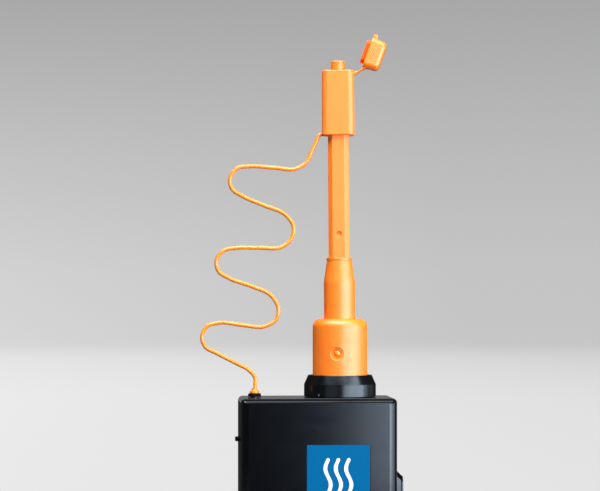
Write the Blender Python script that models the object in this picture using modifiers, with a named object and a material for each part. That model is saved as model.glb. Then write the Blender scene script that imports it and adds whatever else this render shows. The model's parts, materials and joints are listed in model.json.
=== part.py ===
"""Portable gas detector: a black two-part casing with a telescopic sampling wand.

Metres, +Z up. The origin is the middle of the casing's flat base, and the front faces -Y.
"""

import math

import bmesh
import bpy
from mathutils import Matrix, Vector

# Clearance left between pieces that touch on the real object.
GAP = 0.0003
# Edges that turn by more than this are bevelled or kept sharp.
SHARP = math.radians(30)
# How far a cutter runs past the face that it cuts through.
PAST = 0.001

# Casing: a deep rear shell, a shallow front shell and a gasket between their rims.
CASE_WIDTH = 0.100
CASE_HEIGHT = 0.190
TOP = CASE_HEIGHT
SHELL_HALF_DEPTH = 0.025
CASE_CORNER = 0.003
BACK_ROUND = 0.0027
WALL = 0.0025
SEAM = 0.0014
COVER_INSET = 0.0015
COVER_THICK = 0.003
COVER_CHAMFER = 0.0024
LIP_WALL = 0.0018
LIP_HEIGHT = 0.0035
GASKET_INSET = 0.0011
RIM_Y = -SHELL_HALF_DEPTH
COVER_BACK_Y = RIM_Y - SEAM
FACE_Y = COVER_BACK_Y - COVER_THICK
COVER_INNER_Y = FACE_Y + WALL
BACK_Y = SHELL_HALF_DEPTH
INNER_BACK_Y = BACK_Y - WALL
MID_Z = CASE_HEIGHT / 2

# Case screws and the front shell's posts that they enter.
POST_X = 0.0425
POST_ZS = (0.0075, 0.150)
POST_RADIUS = 0.0035
POST_END_Y = 0.0202
POST_BORE_Y = 0.006
BOSS_RADIUS = 0.0042
DOOR_BOSS_RADIUS = 0.0036
DOOR_BOSS_Y = 0.013
SCREW_SEAT_Y = 0.0225
HEAD_HOLE_RADIUS = 0.0031
SHANK_HOLE_RADIUS = 0.0018
SCREW_HEAD_RADIUS = 0.00275
SCREW_HEAD_HEIGHT = 0.0016
SCREW_RADIUS = 0.0015
SCREW_LENGTH = 0.012
SCREW_POINT = 0.0005
CROSS_HALF_LENGTH = 0.0014
CROSS_HALF_WIDTH = 0.00025
CROSS_DEPTH = 0.0008

# Battery door in the back of the rear shell.
DOOR_WIDTH = 0.062
DOOR_HEIGHT = 0.084
DOOR_Z = 0.054
DOOR_THICK = 0.0015
DOOR_CORNER = 0.003
BATTERY_MOUTH_WIDTH = 0.057
BATTERY_MOUTH_HEIGHT = 0.064
DOOR_SCREW_RISE = 0.0375
BATTERY_SIZE = (0.053, 0.019, 0.060)
BATTERY_Y = 0.0110
BATTERY_ROUND = 0.005
GRIP_COUNT = 5
GRIP_RISE = 0.018
GRIP_PITCH = 0.0028
GRIP_SIZE = (0.024, 0.0012)
GRIP_DEPTH = 0.0006

# Front face: label, display, alarm lens, keys and the sounder's slots.
LABEL_SIZE = 0.0402
LABEL_MARGIN = 0.0004
LABEL_X = 0.0120
LABEL_TOP = 0.0294
LABEL_Z = TOP - LABEL_TOP - LABEL_SIZE / 2
LABEL_DEPTH = 0.001
DISPLAY_Z = 0.088
DISPLAY_SIZE = (0.064, 0.036)
DISPLAY_MARGIN = 0.003
WINDOW_THICK = 0.0012
LENS_X = -0.036
LENS_Z = 0.1115
LENS_RADIUS = 0.0025
LENS_PROUD = 0.0008
LENS_DOME = 0.0032
KEY_NAMES = ("menu_key", "power_key", "zero_key")
KEY_Z = 0.050
KEY_PITCH = 0.024
KEY_RADIUS = 0.0058
KEY_PROUD = 0.0012
KEY_TRAVEL = 0.0008
FLANGE_THICK = 0.0009
FLANGE_OUT = 0.001
MAT_MARGIN = 0.009
SLOT_SIZE = (0.016, 0.0014)
SLOT_ZS = (0.017, 0.020, 0.023)
BOARD_Y = -0.0170
BOARD_THICK = 0.0016
BOARD_FRONT_Y = BOARD_Y - BOARD_THICK / 2
BOARD_HALF_WIDTH = 0.0385
BOARD_BOTTOM_Z = 0.0135
BOARD_TOP_Z = 0.166
SOUNDER_Z = 0.0225
SOUNDER_RADIUS = 0.0066
SOUNDER_HEIGHT = 0.0058

# Sampling path in the casing: pump, motor, sensor and the hoses between them.
PUMP_LOW = (-0.038, -0.008, 0.130)
PUMP_HIGH = (-0.014, 0.016, 0.154)
MOTOR_RADIUS = 0.0095
MOTOR_HEIGHT = 0.024
SENSOR_LOW = (0.004, -0.0125, 0.090)
SENSOR_HIGH = (0.030, 0.0135, 0.1085)
CELL_SEAT_Z = 0.0935
CELL_RADIUS = 0.0100
CELL_HEIGHT = 0.0130
HOSE_RADIUS = 0.0016
HOSE_STEP = 0.004

# Wand: the base is centred on an upright axis. The guide, the rod and the head share a second axis,
# which is turned a little about the first and leans a little to the left.
WAND_X = 0.0153
WAND_TURN = math.radians(-6)
WAND_LEAN = math.radians(-0.4)
LEAN_Z = TOP + 0.026
COLLAR_RADIUS = 0.0233
COLLAR_TOP_RADIUS = 0.0208
COLLAR_HEIGHT = 0.0143
COLLAR_CHAMFER = 0.0062
COLLAR_FLOOR = 0.003
NECK_RADIUS = 0.0147
NECK_DROP = 0.009
NUT_RADIUS = 0.0192
NUT_HEIGHT = 0.004
SLEEVE_RADIUS = 0.0177
SLEEVE_TOP = 0.0506
SLEEVE_ROUND = 0.0052
SLEEVE_BORE = 0.0148
SLEEVE_LID = 0.003
GUIDE_RADIUS = 0.01015
GUIDE_STRAIGHT_TOP = 0.0745
GUIDE_TOP = 0.0901
GUIDE_TOP_RADIUS = 0.0080
GUIDE_LIP_RADIUS = 0.0083
GUIDE_LIP_HEIGHT = 0.0015
FLANGE_RADIUS = 0.0144
GUIDE_FLANGE = 0.003
SEAL_THICK = 0.0028
TUBE_RADIUS = 0.0112
TUBE_BORE = 0.0092
TUBE_BOTTOM_Z = 0.116
TUBE_FLANGE = 0.0015
TUBE_FLOOR = 0.002
LINER_RADIUS = 0.0100
LINER_BORE = 0.0087

# Rod: a square tube with wide chamfers.
ROD_WIDTH = 0.0135
ROD_CHAMFER = 0.00275
ROD_WALL = 0.002
ROD_BOTTOM = 0.010
ROD_IN_HEAD = 0.012
FOOT_RADIUS = 0.0083
FOOT_THICK = 0.0028
FOOT_PLUG_RADIUS = 0.0040
FOOT_PLUG_HEIGHT = 0.006
DIMPLE_RADIUS = 0.0018
DIMPLE_DEPTH = 0.0011
DIMPLE_HEIGHT = 0.1054

# Lock button in the base sleeve.
BUTTON_HEIGHT = 0.0283
BUTTON_TURN = math.radians(-11)
BUTTON_WAY = Vector((math.sin(BUTTON_TURN), -math.cos(BUTTON_TURN), 0))
BUTTON_CENTRE = Vector((0, 0, TOP + BUTTON_HEIGHT))
BUTTON_RADIUS = 0.0031
BUTTON_DOME = 0.0052
BUTTON_FLANGE_RADIUS = 0.0045
BUTTON_FLANGE = 0.0137
BUTTON_FLANGE_THICK = 0.0008
STEM_RADIUS = 0.0012
STEM_END = 0.0095
RECESS_RADIUS = 0.00445
RECESS_TAPER = 0.0006
RECESS_FLOOR = SLEEVE_RADIUS - 0.0008

# Head block on top of the rod, with the nozzle and its flip cap.
HEAD_BOTTOM = 0.1693
HEAD_TOP = 0.2112
HEAD_WIDTH = 0.0211
HEAD_DEPTH = 0.0175
HEAD_CORNER = 0.004
HEAD_DRAFT = 0.0003
CAP_RECESS_SIZE = (0.0160, 0.0128)
CAP_RECESS_DEPTH = 0.0030
NOZZLE_RADIUS = 0.0046
NOZZLE_HEIGHT = 0.0063
NOZZLE_FLANGE_RADIUS = 0.0056
NOZZLE_FLANGE = 0.0022
NOZZLE_BORE = 0.0016
FILTER_SEAT_RADIUS = 0.0059
FILTER_SEAT_DEPTH = 0.0050
FILTER_THICK = 0.0018
FILTER_SEAT_Z = TOP + HEAD_TOP - CAP_RECESS_DEPTH - FILTER_SEAT_DEPTH
PORT_HEIGHT = 0.0012
PORT_RADIUS = 0.0009
PORT_X = -0.0088
PORT_RISE = 0.0170

HINGE_X = 0.01363
HINGE_DROP = 0.00075
HINGE_RADIUS = 0.0008
HINGE_DEPTH = 0.0066
CAP_OPEN = math.radians(110.4)
CAP_LENGTH = 0.0202
CAP_HEIGHT = 0.0104
CAP_CORNER = 0.0036
CAP_ROUND = 0.0030
CAP_MIDDLE = (-HINGE_X, 0)
CAP_SKIRT_SIZE = (0.0151, 0.0120)
CAP_SKIRT_DROP = 0.0026
CAP_CAVITY_SIZE = (0.0125, 0.0102)
CAP_ROOF = 0.0016
CAP_TAB = (0.0027, 0.0040, 0.0027)

# Preformed sample line, from its ferrule on the casing to the head's lower left corner.
LINE_RADIUS = 0.0013
LINE_X = -0.0401
LINE_STEP = 0.0060
LINE_ROUTE = (
    (-0.0401, 0.1948), (-0.0396, 0.1984), (-0.0396, 0.2020), (-0.0442, 0.2078),
    (-0.0510, 0.2114), (-0.0646, 0.2184), (-0.0718, 0.2224), (-0.0741, 0.2290),
    (-0.0706, 0.2358), (-0.0633, 0.2380), (-0.0479, 0.2365), (-0.0332, 0.2358),
    (-0.0260, 0.2402), (-0.0248, 0.2481), (-0.0286, 0.2549), (-0.0419, 0.2616),
    (-0.0565, 0.2668), (-0.0633, 0.2713), (-0.0647, 0.2786), (-0.0598, 0.2848),
    (-0.0520, 0.2864), (-0.0366, 0.2865), (-0.0222, 0.2872), (-0.0157, 0.2932),
    (-0.0150, 0.3011), (-0.0195, 0.3075), (-0.0337, 0.3139), (-0.0479, 0.3200),
    (-0.0546, 0.3246), (-0.0558, 0.3320), (-0.0506, 0.3382), (-0.0428, 0.3392),
    (-0.0273, 0.3384), (-0.0126, 0.3380), (-0.0060, 0.3424), (-0.0029, 0.3493),
    (0.0000, 0.3554), (0.0012, 0.3586), (0.0021, 0.3598), (0.0030, 0.3601),
)
GROMMET_RADIUS = 0.0042
GROMMET_BORE = 0.0026
GROMMET_HEIGHT = 0.0022
FERRULE_RADIUS = 0.0032
FERRULE_NECK = 0.0023
FERRULE_BORE = 0.0010
FERRULE_TOP = 0.0042
FERRULE_BOTTOM = -0.006
FITTING_RADIUS = 0.0040
FITTING_SEAT = 0.0027
FITTING_TOP = -0.0032
FITTING_BOTTOM = -0.0125

# Small push button on the left flank, and the raised pod on the right flank.
SIDE_BUTTON_Y = 0.006
SIDE_BUTTON_Z = 0.1627
SIDE_BUTTON_RADIUS = 0.0016
SIDE_BUTTON_PROUD = 0.0025
SWITCH_X = -0.0384
SWITCH_SIZE = (0.0039, 0.006, 0.007)
POD_TOP = 0.1434
POD_BOTTOM = 0.0600
POD_FRONT_Y = -0.0200
POD_BACK_Y = 0.0140
POD_PROUD = 0.0048
POD_SLOPE = 0.0036
POD_DRAW_IN = (0.0020, 0.0030)
POD_COVER_THICK = 0.0011
POD_COVER_DRAW_IN = (0.0029, 0.0041)

BLACK = ((0.018, 0.019, 0.022), 0.32, 0.0)
ORANGE = ((0.95, 0.29, 0.02), 0.38, 0.0)
DARK_RUBBER = ((0.012, 0.012, 0.013), 0.65, 0.0)
BLUE = ((0.0, 0.16, 0.43), 0.35, 0.0)
GLASS = ((0.05, 0.06, 0.06), 0.08, 0.0)
RED = ((0.55, 0.02, 0.02), 0.15, 0.0)
GREY_KEY = ((0.30, 0.31, 0.33), 0.5, 0.0)
STEEL = ((0.55, 0.55, 0.56), 0.3, 1.0)
BRASS = ((0.72, 0.52, 0.22), 0.3, 1.0)
GREEN_BOARD = ((0.02, 0.16, 0.06), 0.45, 0.0)
WHITE = ((0.75, 0.75, 0.73), 0.6, 0.0)
CELL = ((0.06, 0.10, 0.20), 0.4, 0.0)

PLANES = {
    "XY": Matrix.Identity(4),
    "XZ": Matrix(((1, 0, 0, 0), (0, 0, -1, 0), (0, 1, 0, 0), (0, 0, 0, 1))),
    "YZ": Matrix(((0, 0, 1, 0), (1, 0, 0, 0), (0, 1, 0, 0), (0, 0, 0, 1))),
}


# ---------------------------------------------------------------- scene and helpers

def clear_scene():
    for old in list(bpy.data.objects):
        bpy.data.objects.remove(old, do_unlink=True)


def new_collection(name):
    made = bpy.data.collections.new(name)
    bpy.context.scene.collection.children.link(made)
    return made


clear_scene()
PARTS = new_collection("portable_gas_detector")
CUTTERS = new_collection("cutters")


def add_object(name, data):
    made = bpy.data.objects.new(name, data)
    PARTS.objects.link(made)
    return made


def axis_empty(name, place, parent=None):
    """An empty on a joint's axis, whose space the moving pieces are modelled in."""
    empty = add_object(name, None)
    empty.empty_display_size = 0.01
    empty.parent = parent
    empty.matrix_basis = place
    return empty


def finish(obj, look, parent=None):
    """Give a piece its own material and put it in its parent's space."""
    colour, roughness, metallic = look
    made = bpy.data.materials.new(obj.name)
    made.use_nodes = True
    shader = made.node_tree.nodes["Principled BSDF"]
    shader.inputs["Base Color"].default_value = (*colour, 1.0)
    shader.inputs["Roughness"].default_value = roughness
    shader.inputs["Metallic"].default_value = metallic
    obj.data.materials.clear()
    obj.data.materials.append(made)
    set_parent(obj, parent)
    return obj


def set_parent(obj, parent):
    """Parent a piece, and the cutters and joined shapes of its modifiers with it."""
    place = obj.matrix_basis.copy()
    obj.parent = parent
    obj.matrix_basis = place
    for modifier in obj.modifiers:
        if modifier.type == "BOOLEAN":
            set_parent(modifier.object, parent)


def smooth(mesh):
    mesh.shade_smooth()
    mesh.set_sharp_from_angle(angle=SHARP)


def boolean(obj, other, operation):
    modifier = obj.modifiers.new(other.name, "BOOLEAN")
    modifier.operation = operation
    modifier.solver = "EXACT"
    modifier.object = other
    for owner in list(other.users_collection):
        owner.objects.unlink(other)
    CUTTERS.objects.link(other)
    other.hide_render = True
    other.display_type = "WIRE"


def cut(obj, *cutters):
    for cutter in cutters:
        boolean(obj, cutter, "DIFFERENCE")


def join(obj, *others):
    for other in others:
        boolean(obj, other, "UNION")


def bake(obj):
    """Turn an object with modifiers into a plain mesh, so that copies can share it."""
    bpy.context.view_layer.update()
    seen = obj.evaluated_get(bpy.context.evaluated_depsgraph_get())
    mesh = bpy.data.meshes.new_from_object(seen)
    for modifier in list(obj.modifiers):
        if modifier.type == "BOOLEAN":
            bpy.data.objects.remove(modifier.object)
    obj.modifiers.clear()
    obj.data = mesh
    smooth(mesh)
    return obj


def arc(centre, radius, start, end, steps):
    """Points on a round stretch, from one angle in degrees to the other."""
    points = []
    for step in range(steps + 1):
        angle = math.radians(start + (end - start) * step / steps)
        points.append((centre[0] + radius * math.cos(angle), centre[1] + radius * math.sin(angle)))
    return points


def rounded_outline(width, height, radius, centre=(0, 0), steps=3):
    """A rectangle with round corners, anticlockwise."""
    points = []
    for corner, (side_u, side_v) in enumerate(((1, 1), (-1, 1), (-1, -1), (1, -1))):
        middle = (
            centre[0] + side_u * (width / 2 - radius),
            centre[1] + side_v * (height / 2 - radius),
        )
        points += arc(middle, radius, corner * 90, corner * 90 + 90, steps)
    return points


def chamfered_outline(width, chamfer):
    """A square with its corners cut off."""
    half = width / 2
    flat = half - chamfer
    return [
        (half, flat), (flat, half), (-flat, half), (-half, flat),
        (-half, -flat), (-flat, -half), (flat, -half), (half, -flat),
    ]


def slab(name, outline, plane, low, high):
    """A flat outline with thickness, from low to high along the plane's normal."""
    curve = bpy.data.curves.new(name, "CURVE")
    curve.dimensions = "2D"
    curve.fill_mode = "BOTH"
    curve.extrude = (high - low) / 2
    spline = curve.splines.new("POLY")
    spline.points.add(len(outline) - 1)
    for point, (u, v) in zip(spline.points, outline):
        point.co = (u, v, 0, 1)
    spline.use_cyclic_u = True
    source = add_object(name + "_outline", curve)
    middle = (low + high) / 2
    if plane == "XZ":
        middle = -middle
    source.matrix_world = PLANES[plane] @ Matrix.Translation((0, 0, middle))
    return mesh_of_curve(source, name)


def mesh_of_curve(source, name):
    bpy.context.view_layer.update()
    seen = source.evaluated_get(bpy.context.evaluated_depsgraph_get())
    mesh = bpy.data.meshes.new_from_object(seen)
    mesh.transform(source.matrix_world)
    curve = source.data
    bpy.data.objects.remove(source)
    bpy.data.curves.remove(curve)
    shape = bmesh.new()
    shape.from_mesh(mesh)
    bmesh.ops.remove_doubles(shape, verts=shape.verts, dist=1e-6)
    bmesh.ops.dissolve_limit(
        shape, angle_limit=math.radians(0.5), verts=shape.verts, edges=shape.edges
    )
    bmesh.ops.recalc_face_normals(shape, faces=shape.faces)
    shape.to_mesh(mesh)
    shape.free()
    smooth(mesh)
    return add_object(name, mesh)


def box(name, low, high):
    shape = bmesh.new()
    bmesh.ops.create_cube(shape, size=1)
    low, high = Vector(low), Vector(high)
    size = high - low
    bmesh.ops.scale(shape, vec=size, verts=shape.verts)
    bmesh.ops.translate(shape, vec=(low + high) / 2, verts=shape.verts)
    mesh = bpy.data.meshes.new(name)
    shape.to_mesh(mesh)
    shape.free()
    return add_object(name, mesh)


def bar(name, start, end, radius, segments=16, end_radius=None):
    """A cylinder, or a cone, from one point to another."""
    start, end = Vector(start), Vector(end)
    way = end - start
    place = Matrix.Translation((start + end) / 2) @ way.to_track_quat("Z", "Y").to_matrix().to_4x4()
    shape = bmesh.new()
    bmesh.ops.create_cone(
        shape, cap_ends=True, segments=segments, radius1=radius,
        radius2=radius if end_radius is None else end_radius, depth=way.length, matrix=place,
    )
    mesh = bpy.data.meshes.new(name)
    shape.to_mesh(mesh)
    shape.free()
    smooth(mesh)
    return add_object(name, mesh)


def bevel_where(obj, width, segments, test):
    """Bevel the sharp edges whose middle passes the test; one segment is a chamfer."""
    shape = bmesh.new()
    shape.from_mesh(obj.data)
    edges = []
    for edge in shape.edges:
        middle = (edge.verts[0].co + edge.verts[1].co) / 2
        if len(edge.link_faces) == 2 and edge.calc_face_angle() > SHARP and test(middle):
            edges.append(edge)
    bmesh.ops.bevel(
        shape, geom=edges, offset=width, segments=segments, profile=0.5, affect="EDGES"
    )
    shape.to_mesh(obj.data)
    shape.free()
    smooth(obj.data)


def turned(name, profile, segments=40, ring=False, place=None):
    """A profile of (radius, height) spun about Z. It runs down its outer side."""
    mesh = bpy.data.meshes.new(name)
    count = len(profile)
    edges = [(i, i + 1) for i in range(count - 1)]
    if ring:
        edges.append((count - 1, 0))
    mesh.from_pydata([(radius, 0, height) for radius, height in profile], edges, [])
    obj = add_object(name, mesh)
    spin = obj.modifiers.new("spin", "SCREW")
    spin.steps = segments
    spin.render_steps = segments
    spin.use_merge_vertices = True
    spin.merge_threshold = 0.00001
    if place is not None:
        obj.matrix_basis = place
    return obj


def ring_profile(bore, radius, low, high):
    return [(radius, high), (radius, low), (bore, low), (bore, high)]


def along(start, end):
    """A matrix that puts the origin at start and +Z towards end."""
    start, end = Vector(start), Vector(end)
    return Matrix.Translation(start) @ (end - start).to_track_quat("Z", "Y").to_matrix().to_4x4()


def smooth_route(points, step):
    """Even steps along a smooth curve that passes through every point."""
    points = [Vector(point) for point in points]
    lengths = [(b - a).length for a, b in zip(points, points[1:])]
    slopes = [(b - a) / length for a, b, length in zip(points, points[1:], lengths)]
    tangents = [slopes[0]]
    for i in range(1, len(points) - 1):
        blend = slopes[i - 1] * lengths[i] + slopes[i] * lengths[i - 1]
        tangents.append(blend / (lengths[i - 1] + lengths[i]))
    tangents.append(slopes[-1])
    fine = 24
    dense = []
    for i, length in enumerate(lengths):
        for part in range(fine):
            t = part / fine
            dense.append(
                points[i] * (2 * t**3 - 3 * t**2 + 1)
                + tangents[i] * length * (t**3 - 2 * t**2 + t)
                + points[i + 1] * (3 * t**2 - 2 * t**3)
                + tangents[i + 1] * length * (t**3 - t**2)
            )
    dense.append(points[-1])
    total = sum((b - a).length for a, b in zip(dense, dense[1:]))
    count = round(total / step)
    even = [dense[0]]
    walked = 0.0
    for a, b in zip(dense, dense[1:]):
        piece = (b - a).length
        while len(even) < count and walked + piece >= total * len(even) / count:
            even.append(a.lerp(b, (total * len(even) / count - walked) / piece))
        walked += piece
    even.append(dense[-1])
    return even


def tube(name, points, radius, resolution=2):
    curve = bpy.data.curves.new(name, "CURVE")
    curve.dimensions = "3D"
    curve.bevel_depth = radius
    curve.bevel_resolution = resolution
    curve.use_fill_caps = True
    spline = curve.splines.new("POLY")
    spline.points.add(len(points) - 1)
    for point, co in zip(spline.points, points):
        point.co = (*co, 1)
    return add_object(name, curve)


def coil(name, radius, wire, pitch, turns, place, steps=8):
    """A compression spring along the place's +Z."""
    points = []
    for i in range(turns * steps + 1):
        angle = math.tau * i / steps
        point = (radius * math.cos(angle), radius * math.sin(angle), pitch * i / steps)
        points.append(place @ Vector(point))
    return tube(name, points, wire, resolution=1)


# ---------------------------------------------------------------- casing

def case_outline(inset, radius):
    return rounded_outline(
        CASE_WIDTH - 2 * inset, CASE_HEIGHT - 2 * inset, radius, centre=(0, MID_Z)
    )


def post_places():
    return [(side * POST_X, z) for z in POST_ZS for side in (-1, 1)]


def door_screw_zs():
    return [DOOR_Z + DOOR_SCREW_RISE, DOOR_Z - DOOR_SCREW_RISE]


def make_rear_shell():
    shell = slab("rear_shell", case_outline(0, CASE_CORNER), "XZ", RIM_Y, BACK_Y)
    bevel_where(shell, BACK_ROUND, 3, lambda p: p.y > BACK_Y - GAP)
    bevel_where(shell, 0.0006, 1, lambda p: p.y < RIM_Y + GAP)
    cut(shell, slab("case_cavity", case_outline(WALL, 0.0015), "XZ", RIM_Y - PAST, INNER_BACK_Y))
    for number, (x, z) in enumerate(post_places()):
        join(shell, bar(f"boss_{number}", (x, INNER_BACK_Y + PAST, z),
                        (x, POST_END_Y + GAP, z), BOSS_RADIUS, 12))
    for number, z in enumerate(door_screw_zs()):
        join(shell, bar(f"door_boss_{number}", (0, INNER_BACK_Y + PAST, z), (0, DOOR_BOSS_Y, z),
                        DOOR_BOSS_RADIUS, 12))
    rib_right = SWITCH_X - GAP / 3
    join(shell, box("switch_rib", (rib_right - 0.002, SIDE_BUTTON_Y - 0.003, SIDE_BUTTON_Z - 0.0042),
                    (rib_right, INNER_BACK_Y + PAST, SIDE_BUTTON_Z + 0.0042)))
    cut(shell, *screw_holes())
    rebate = rounded_outline(DOOR_WIDTH, DOOR_HEIGHT, DOOR_CORNER, (0, DOOR_Z))
    mouth = rounded_outline(BATTERY_MOUTH_WIDTH, BATTERY_MOUTH_HEIGHT, 0.002, (0, DOOR_Z))
    cut(shell, slab("door_rebate", rebate, "XZ", BACK_Y - DOOR_THICK - GAP, BACK_Y + PAST))
    cut(shell, slab("battery_mouth", mouth, "XZ", INNER_BACK_Y - PAST, BACK_Y))
    for number, z in enumerate(door_screw_zs()):
        cut(shell, bar(f"door_pilot_{number}", (0, DOOR_BOSS_Y - 0.003, z), (0, BACK_Y, z),
                       SHANK_HOLE_RADIUS, 12))
    roof = TOP - WALL
    cut(shell, bar("collar_hole", (WAND_X, 0, roof - PAST), (WAND_X, 0, TOP + PAST),
                   NECK_RADIUS + GAP, 40))
    cut(shell, bar("inlet_hole", (LINE_X, 0, roof - PAST), (LINE_X, 0, TOP + PAST), 0.0028))
    flank = -CASE_WIDTH / 2
    cut(shell, bar("side_button_hole", (flank - PAST, SIDE_BUTTON_Y, SIDE_BUTTON_Z),
                   (flank + 2 * WALL, SIDE_BUTTON_Y, SIDE_BUTTON_Z), SIDE_BUTTON_RADIUS + GAP))
    finish(shell, BLACK)


def screw_holes():
    """Cutters for the rear shell's case screws: a wide hole for the head, then one for the shank."""
    holes = []
    for number, (x, z) in enumerate(post_places()):
        holes.append(bar(f"head_hole_{number}", (x, SCREW_SEAT_Y - GAP, z), (x, BACK_Y + PAST, z),
                         HEAD_HOLE_RADIUS))
        holes.append(bar(f"shank_hole_{number}", (x, POST_END_Y - 0.002, z), (x, SCREW_SEAT_Y, z),
                         SHANK_HOLE_RADIUS, 12))
    return holes


def make_front_shell():
    cover = slab("front_shell", case_outline(COVER_INSET, 0.0028), "XZ", FACE_Y, COVER_BACK_Y)
    bevel_where(cover, COVER_CHAMFER, 2, lambda p: p.y < FACE_Y + GAP)
    join(cover, slab("cover_lip", case_outline(WALL + GAP, 0.0012), "XZ",
                     COVER_BACK_Y - PAST, RIM_Y + LIP_HEIGHT))
    cut(cover, slab("cover_cavity", case_outline(WALL + GAP + LIP_WALL, 0.001), "XZ",
                    COVER_INNER_Y, RIM_Y + LIP_HEIGHT + PAST))
    for number, (x, z) in enumerate(post_places()):
        join(cover, bar(f"post_{number}", (x, COVER_INNER_Y - PAST, z), (x, POST_END_Y, z),
                        POST_RADIUS, 12))
        cut(cover, bar(f"post_bore_{number}", (x, POST_BORE_Y, z), (x, POST_END_Y + PAST, z),
                       SHANK_HOLE_RADIUS, 12))
    recess_size = LABEL_SIZE + 2 * LABEL_MARGIN
    recess = rounded_outline(recess_size, recess_size, 0.0006, (LABEL_X, LABEL_Z), 2)
    cut(cover, slab("label_recess", recess, "XZ", FACE_Y - PAST, FACE_Y + LABEL_DEPTH))
    wide, high = DISPLAY_SIZE
    rebate = rounded_outline(wide, high, 0.003, (0, DISPLAY_Z))
    sight = rounded_outline(
        wide - 2 * DISPLAY_MARGIN, high - 2 * DISPLAY_MARGIN, 0.0015, (0, DISPLAY_Z)
    )
    cut(cover, slab("window_rebate", rebate, "XZ", FACE_Y - PAST, FACE_Y + WINDOW_THICK + GAP))
    cut(cover, slab("window_sight", sight, "XZ", FACE_Y, COVER_INNER_Y + PAST))
    cut(cover, bar("lens_hole", (LENS_X, FACE_Y - PAST, LENS_Z),
                   (LENS_X, COVER_INNER_Y + PAST, LENS_Z), LENS_RADIUS + GAP))
    for number, name in enumerate(KEY_NAMES):
        x = (number - 1) * KEY_PITCH
        cut(cover, bar(name + "_hole", (x, FACE_Y - PAST, KEY_Z),
                       (x, COVER_INNER_Y + PAST, KEY_Z), KEY_RADIUS + GAP, 20))
    for number, z in enumerate(SLOT_ZS):
        slot = rounded_outline(*SLOT_SIZE, SLOT_SIZE[1] / 2 - 0.0001, (0, z), 3)
        cut(cover, slab(f"sound_slot_{number}", slot, "XZ", FACE_Y - PAST, COVER_INNER_Y + PAST))
    finish(cover, BLACK)


def make_gasket():
    gasket = slab("shell_gasket", case_outline(GASKET_INSET, 0.002), "XZ",
                  COVER_BACK_Y + GAP, RIM_Y - GAP)
    cut(gasket, slab("gasket_inside", case_outline(WALL, 0.0015), "XZ", COVER_BACK_Y, RIM_Y))
    finish(gasket, DARK_RUBBER)


def make_label():
    outline = rounded_outline(LABEL_SIZE, LABEL_SIZE, 0.0004, (LABEL_X, LABEL_Z), 2)
    plate = slab("label_plate", outline, "XZ", FACE_Y + 0.0002, FACE_Y + LABEL_DEPTH - GAP)
    finish(plate, BLUE)


def make_display():
    wide, high = DISPLAY_SIZE
    outline = rounded_outline(wide - 2 * GAP, high - 2 * GAP, 0.0027, (0, DISPLAY_Z))
    finish(slab("display_window", outline, "XZ", FACE_Y, FACE_Y + WINDOW_THICK), GLASS)
    module = box("lcd_module", (-wide / 2, COVER_INNER_Y + GAP, DISPLAY_Z - high / 2),
                 (wide / 2, BOARD_FRONT_Y - GAP, DISPLAY_Z + high / 2))
    bevel_where(module, 0.0006, 2, lambda p: p.y < COVER_INNER_Y + 2 * GAP)
    finish(module, STEEL)


def make_lens():
    base = COVER_INNER_Y + GAP
    tip = base - FACE_Y + LENS_PROUD
    dome = arc((0, tip - LENS_DOME), LENS_DOME, 68, 39, 3)
    flange = LENS_RADIUS + FLANGE_OUT
    profile = [(0, tip), *dome, (LENS_RADIUS, 0), (flange, 0), (flange, -FLANGE_OUT), (0, -FLANGE_OUT)]
    place = along((LENS_X, base, LENS_Z), (LENS_X, base - 1, LENS_Z))
    finish(turned("alarm_lens", profile, 16, place=place), RED)


def make_keys():
    """Three round keys that press towards +Y, with a rubber mat behind them."""
    deep = COVER_INNER_Y - FACE_Y + GAP
    flange = KEY_RADIUS + FLANGE_OUT
    rim = arc((KEY_RADIUS - 0.001, KEY_PROUD - 0.001), 0.001, 90, 0, 3)
    profile = [(0, KEY_PROUD - 0.0004), (KEY_RADIUS - 0.0022, KEY_PROUD - 0.0002), *rim,
               (KEY_RADIUS, -deep), (flange, -deep), (flange, -deep - FLANGE_THICK),
               (0, -deep - FLANGE_THICK)]
    shape = bake(turned("key_shape", profile, 20))
    for number, name in enumerate(KEY_NAMES):
        x = (number - 1) * KEY_PITCH
        axis = axis_empty(name + "_axis", along((x, FACE_Y, KEY_Z), (x, FACE_Y - 1, KEY_Z)))
        key = add_object(name, shape.data.copy())
        finish(key, RED if name == "power_key" else GREY_KEY, axis)
    bpy.data.objects.remove(shape)
    mat_front = FACE_Y + deep + FLANGE_THICK + KEY_TRAVEL + GAP
    mat = box("keypad_mat", (-KEY_PITCH - MAT_MARGIN, mat_front, KEY_Z - MAT_MARGIN),
              (KEY_PITCH + MAT_MARGIN, BOARD_FRONT_Y - GAP, KEY_Z + MAT_MARGIN))
    finish(mat, DARK_RUBBER)


def make_board():
    board = box("main_board", (-BOARD_HALF_WIDTH, BOARD_FRONT_Y, BOARD_BOTTOM_Z),
                (BOARD_HALF_WIDTH, BOARD_FRONT_Y + BOARD_THICK, BOARD_TOP_Z))
    finish(board, GREEN_BOARD)
    place = along((0, BOARD_FRONT_Y - GAP, SOUNDER_Z), (0, -1, SOUNDER_Z))
    bend = 0.0004
    profile = [(0.0012, SOUNDER_HEIGHT), (SOUNDER_RADIUS - bend, SOUNDER_HEIGHT),
               (SOUNDER_RADIUS, SOUNDER_HEIGHT - bend), (SOUNDER_RADIUS, 0), (0.0012, 0)]
    finish(turned("sounder", profile, 16, ring=True, place=place), DARK_RUBBER)


def make_battery():
    wide, deep, high = BATTERY_SIZE
    pack = box("battery_pack", (-wide / 2, BATTERY_Y - deep / 2, DOOR_Z - high / 2),
               (wide / 2, BATTERY_Y + deep / 2, DOOR_Z + high / 2))
    bevel_where(pack, BATTERY_ROUND, 3,
                lambda p: abs(abs(p.x) - wide / 2) < GAP and abs(p.z - DOOR_Z) < GAP)
    finish(pack, CELL)


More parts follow.
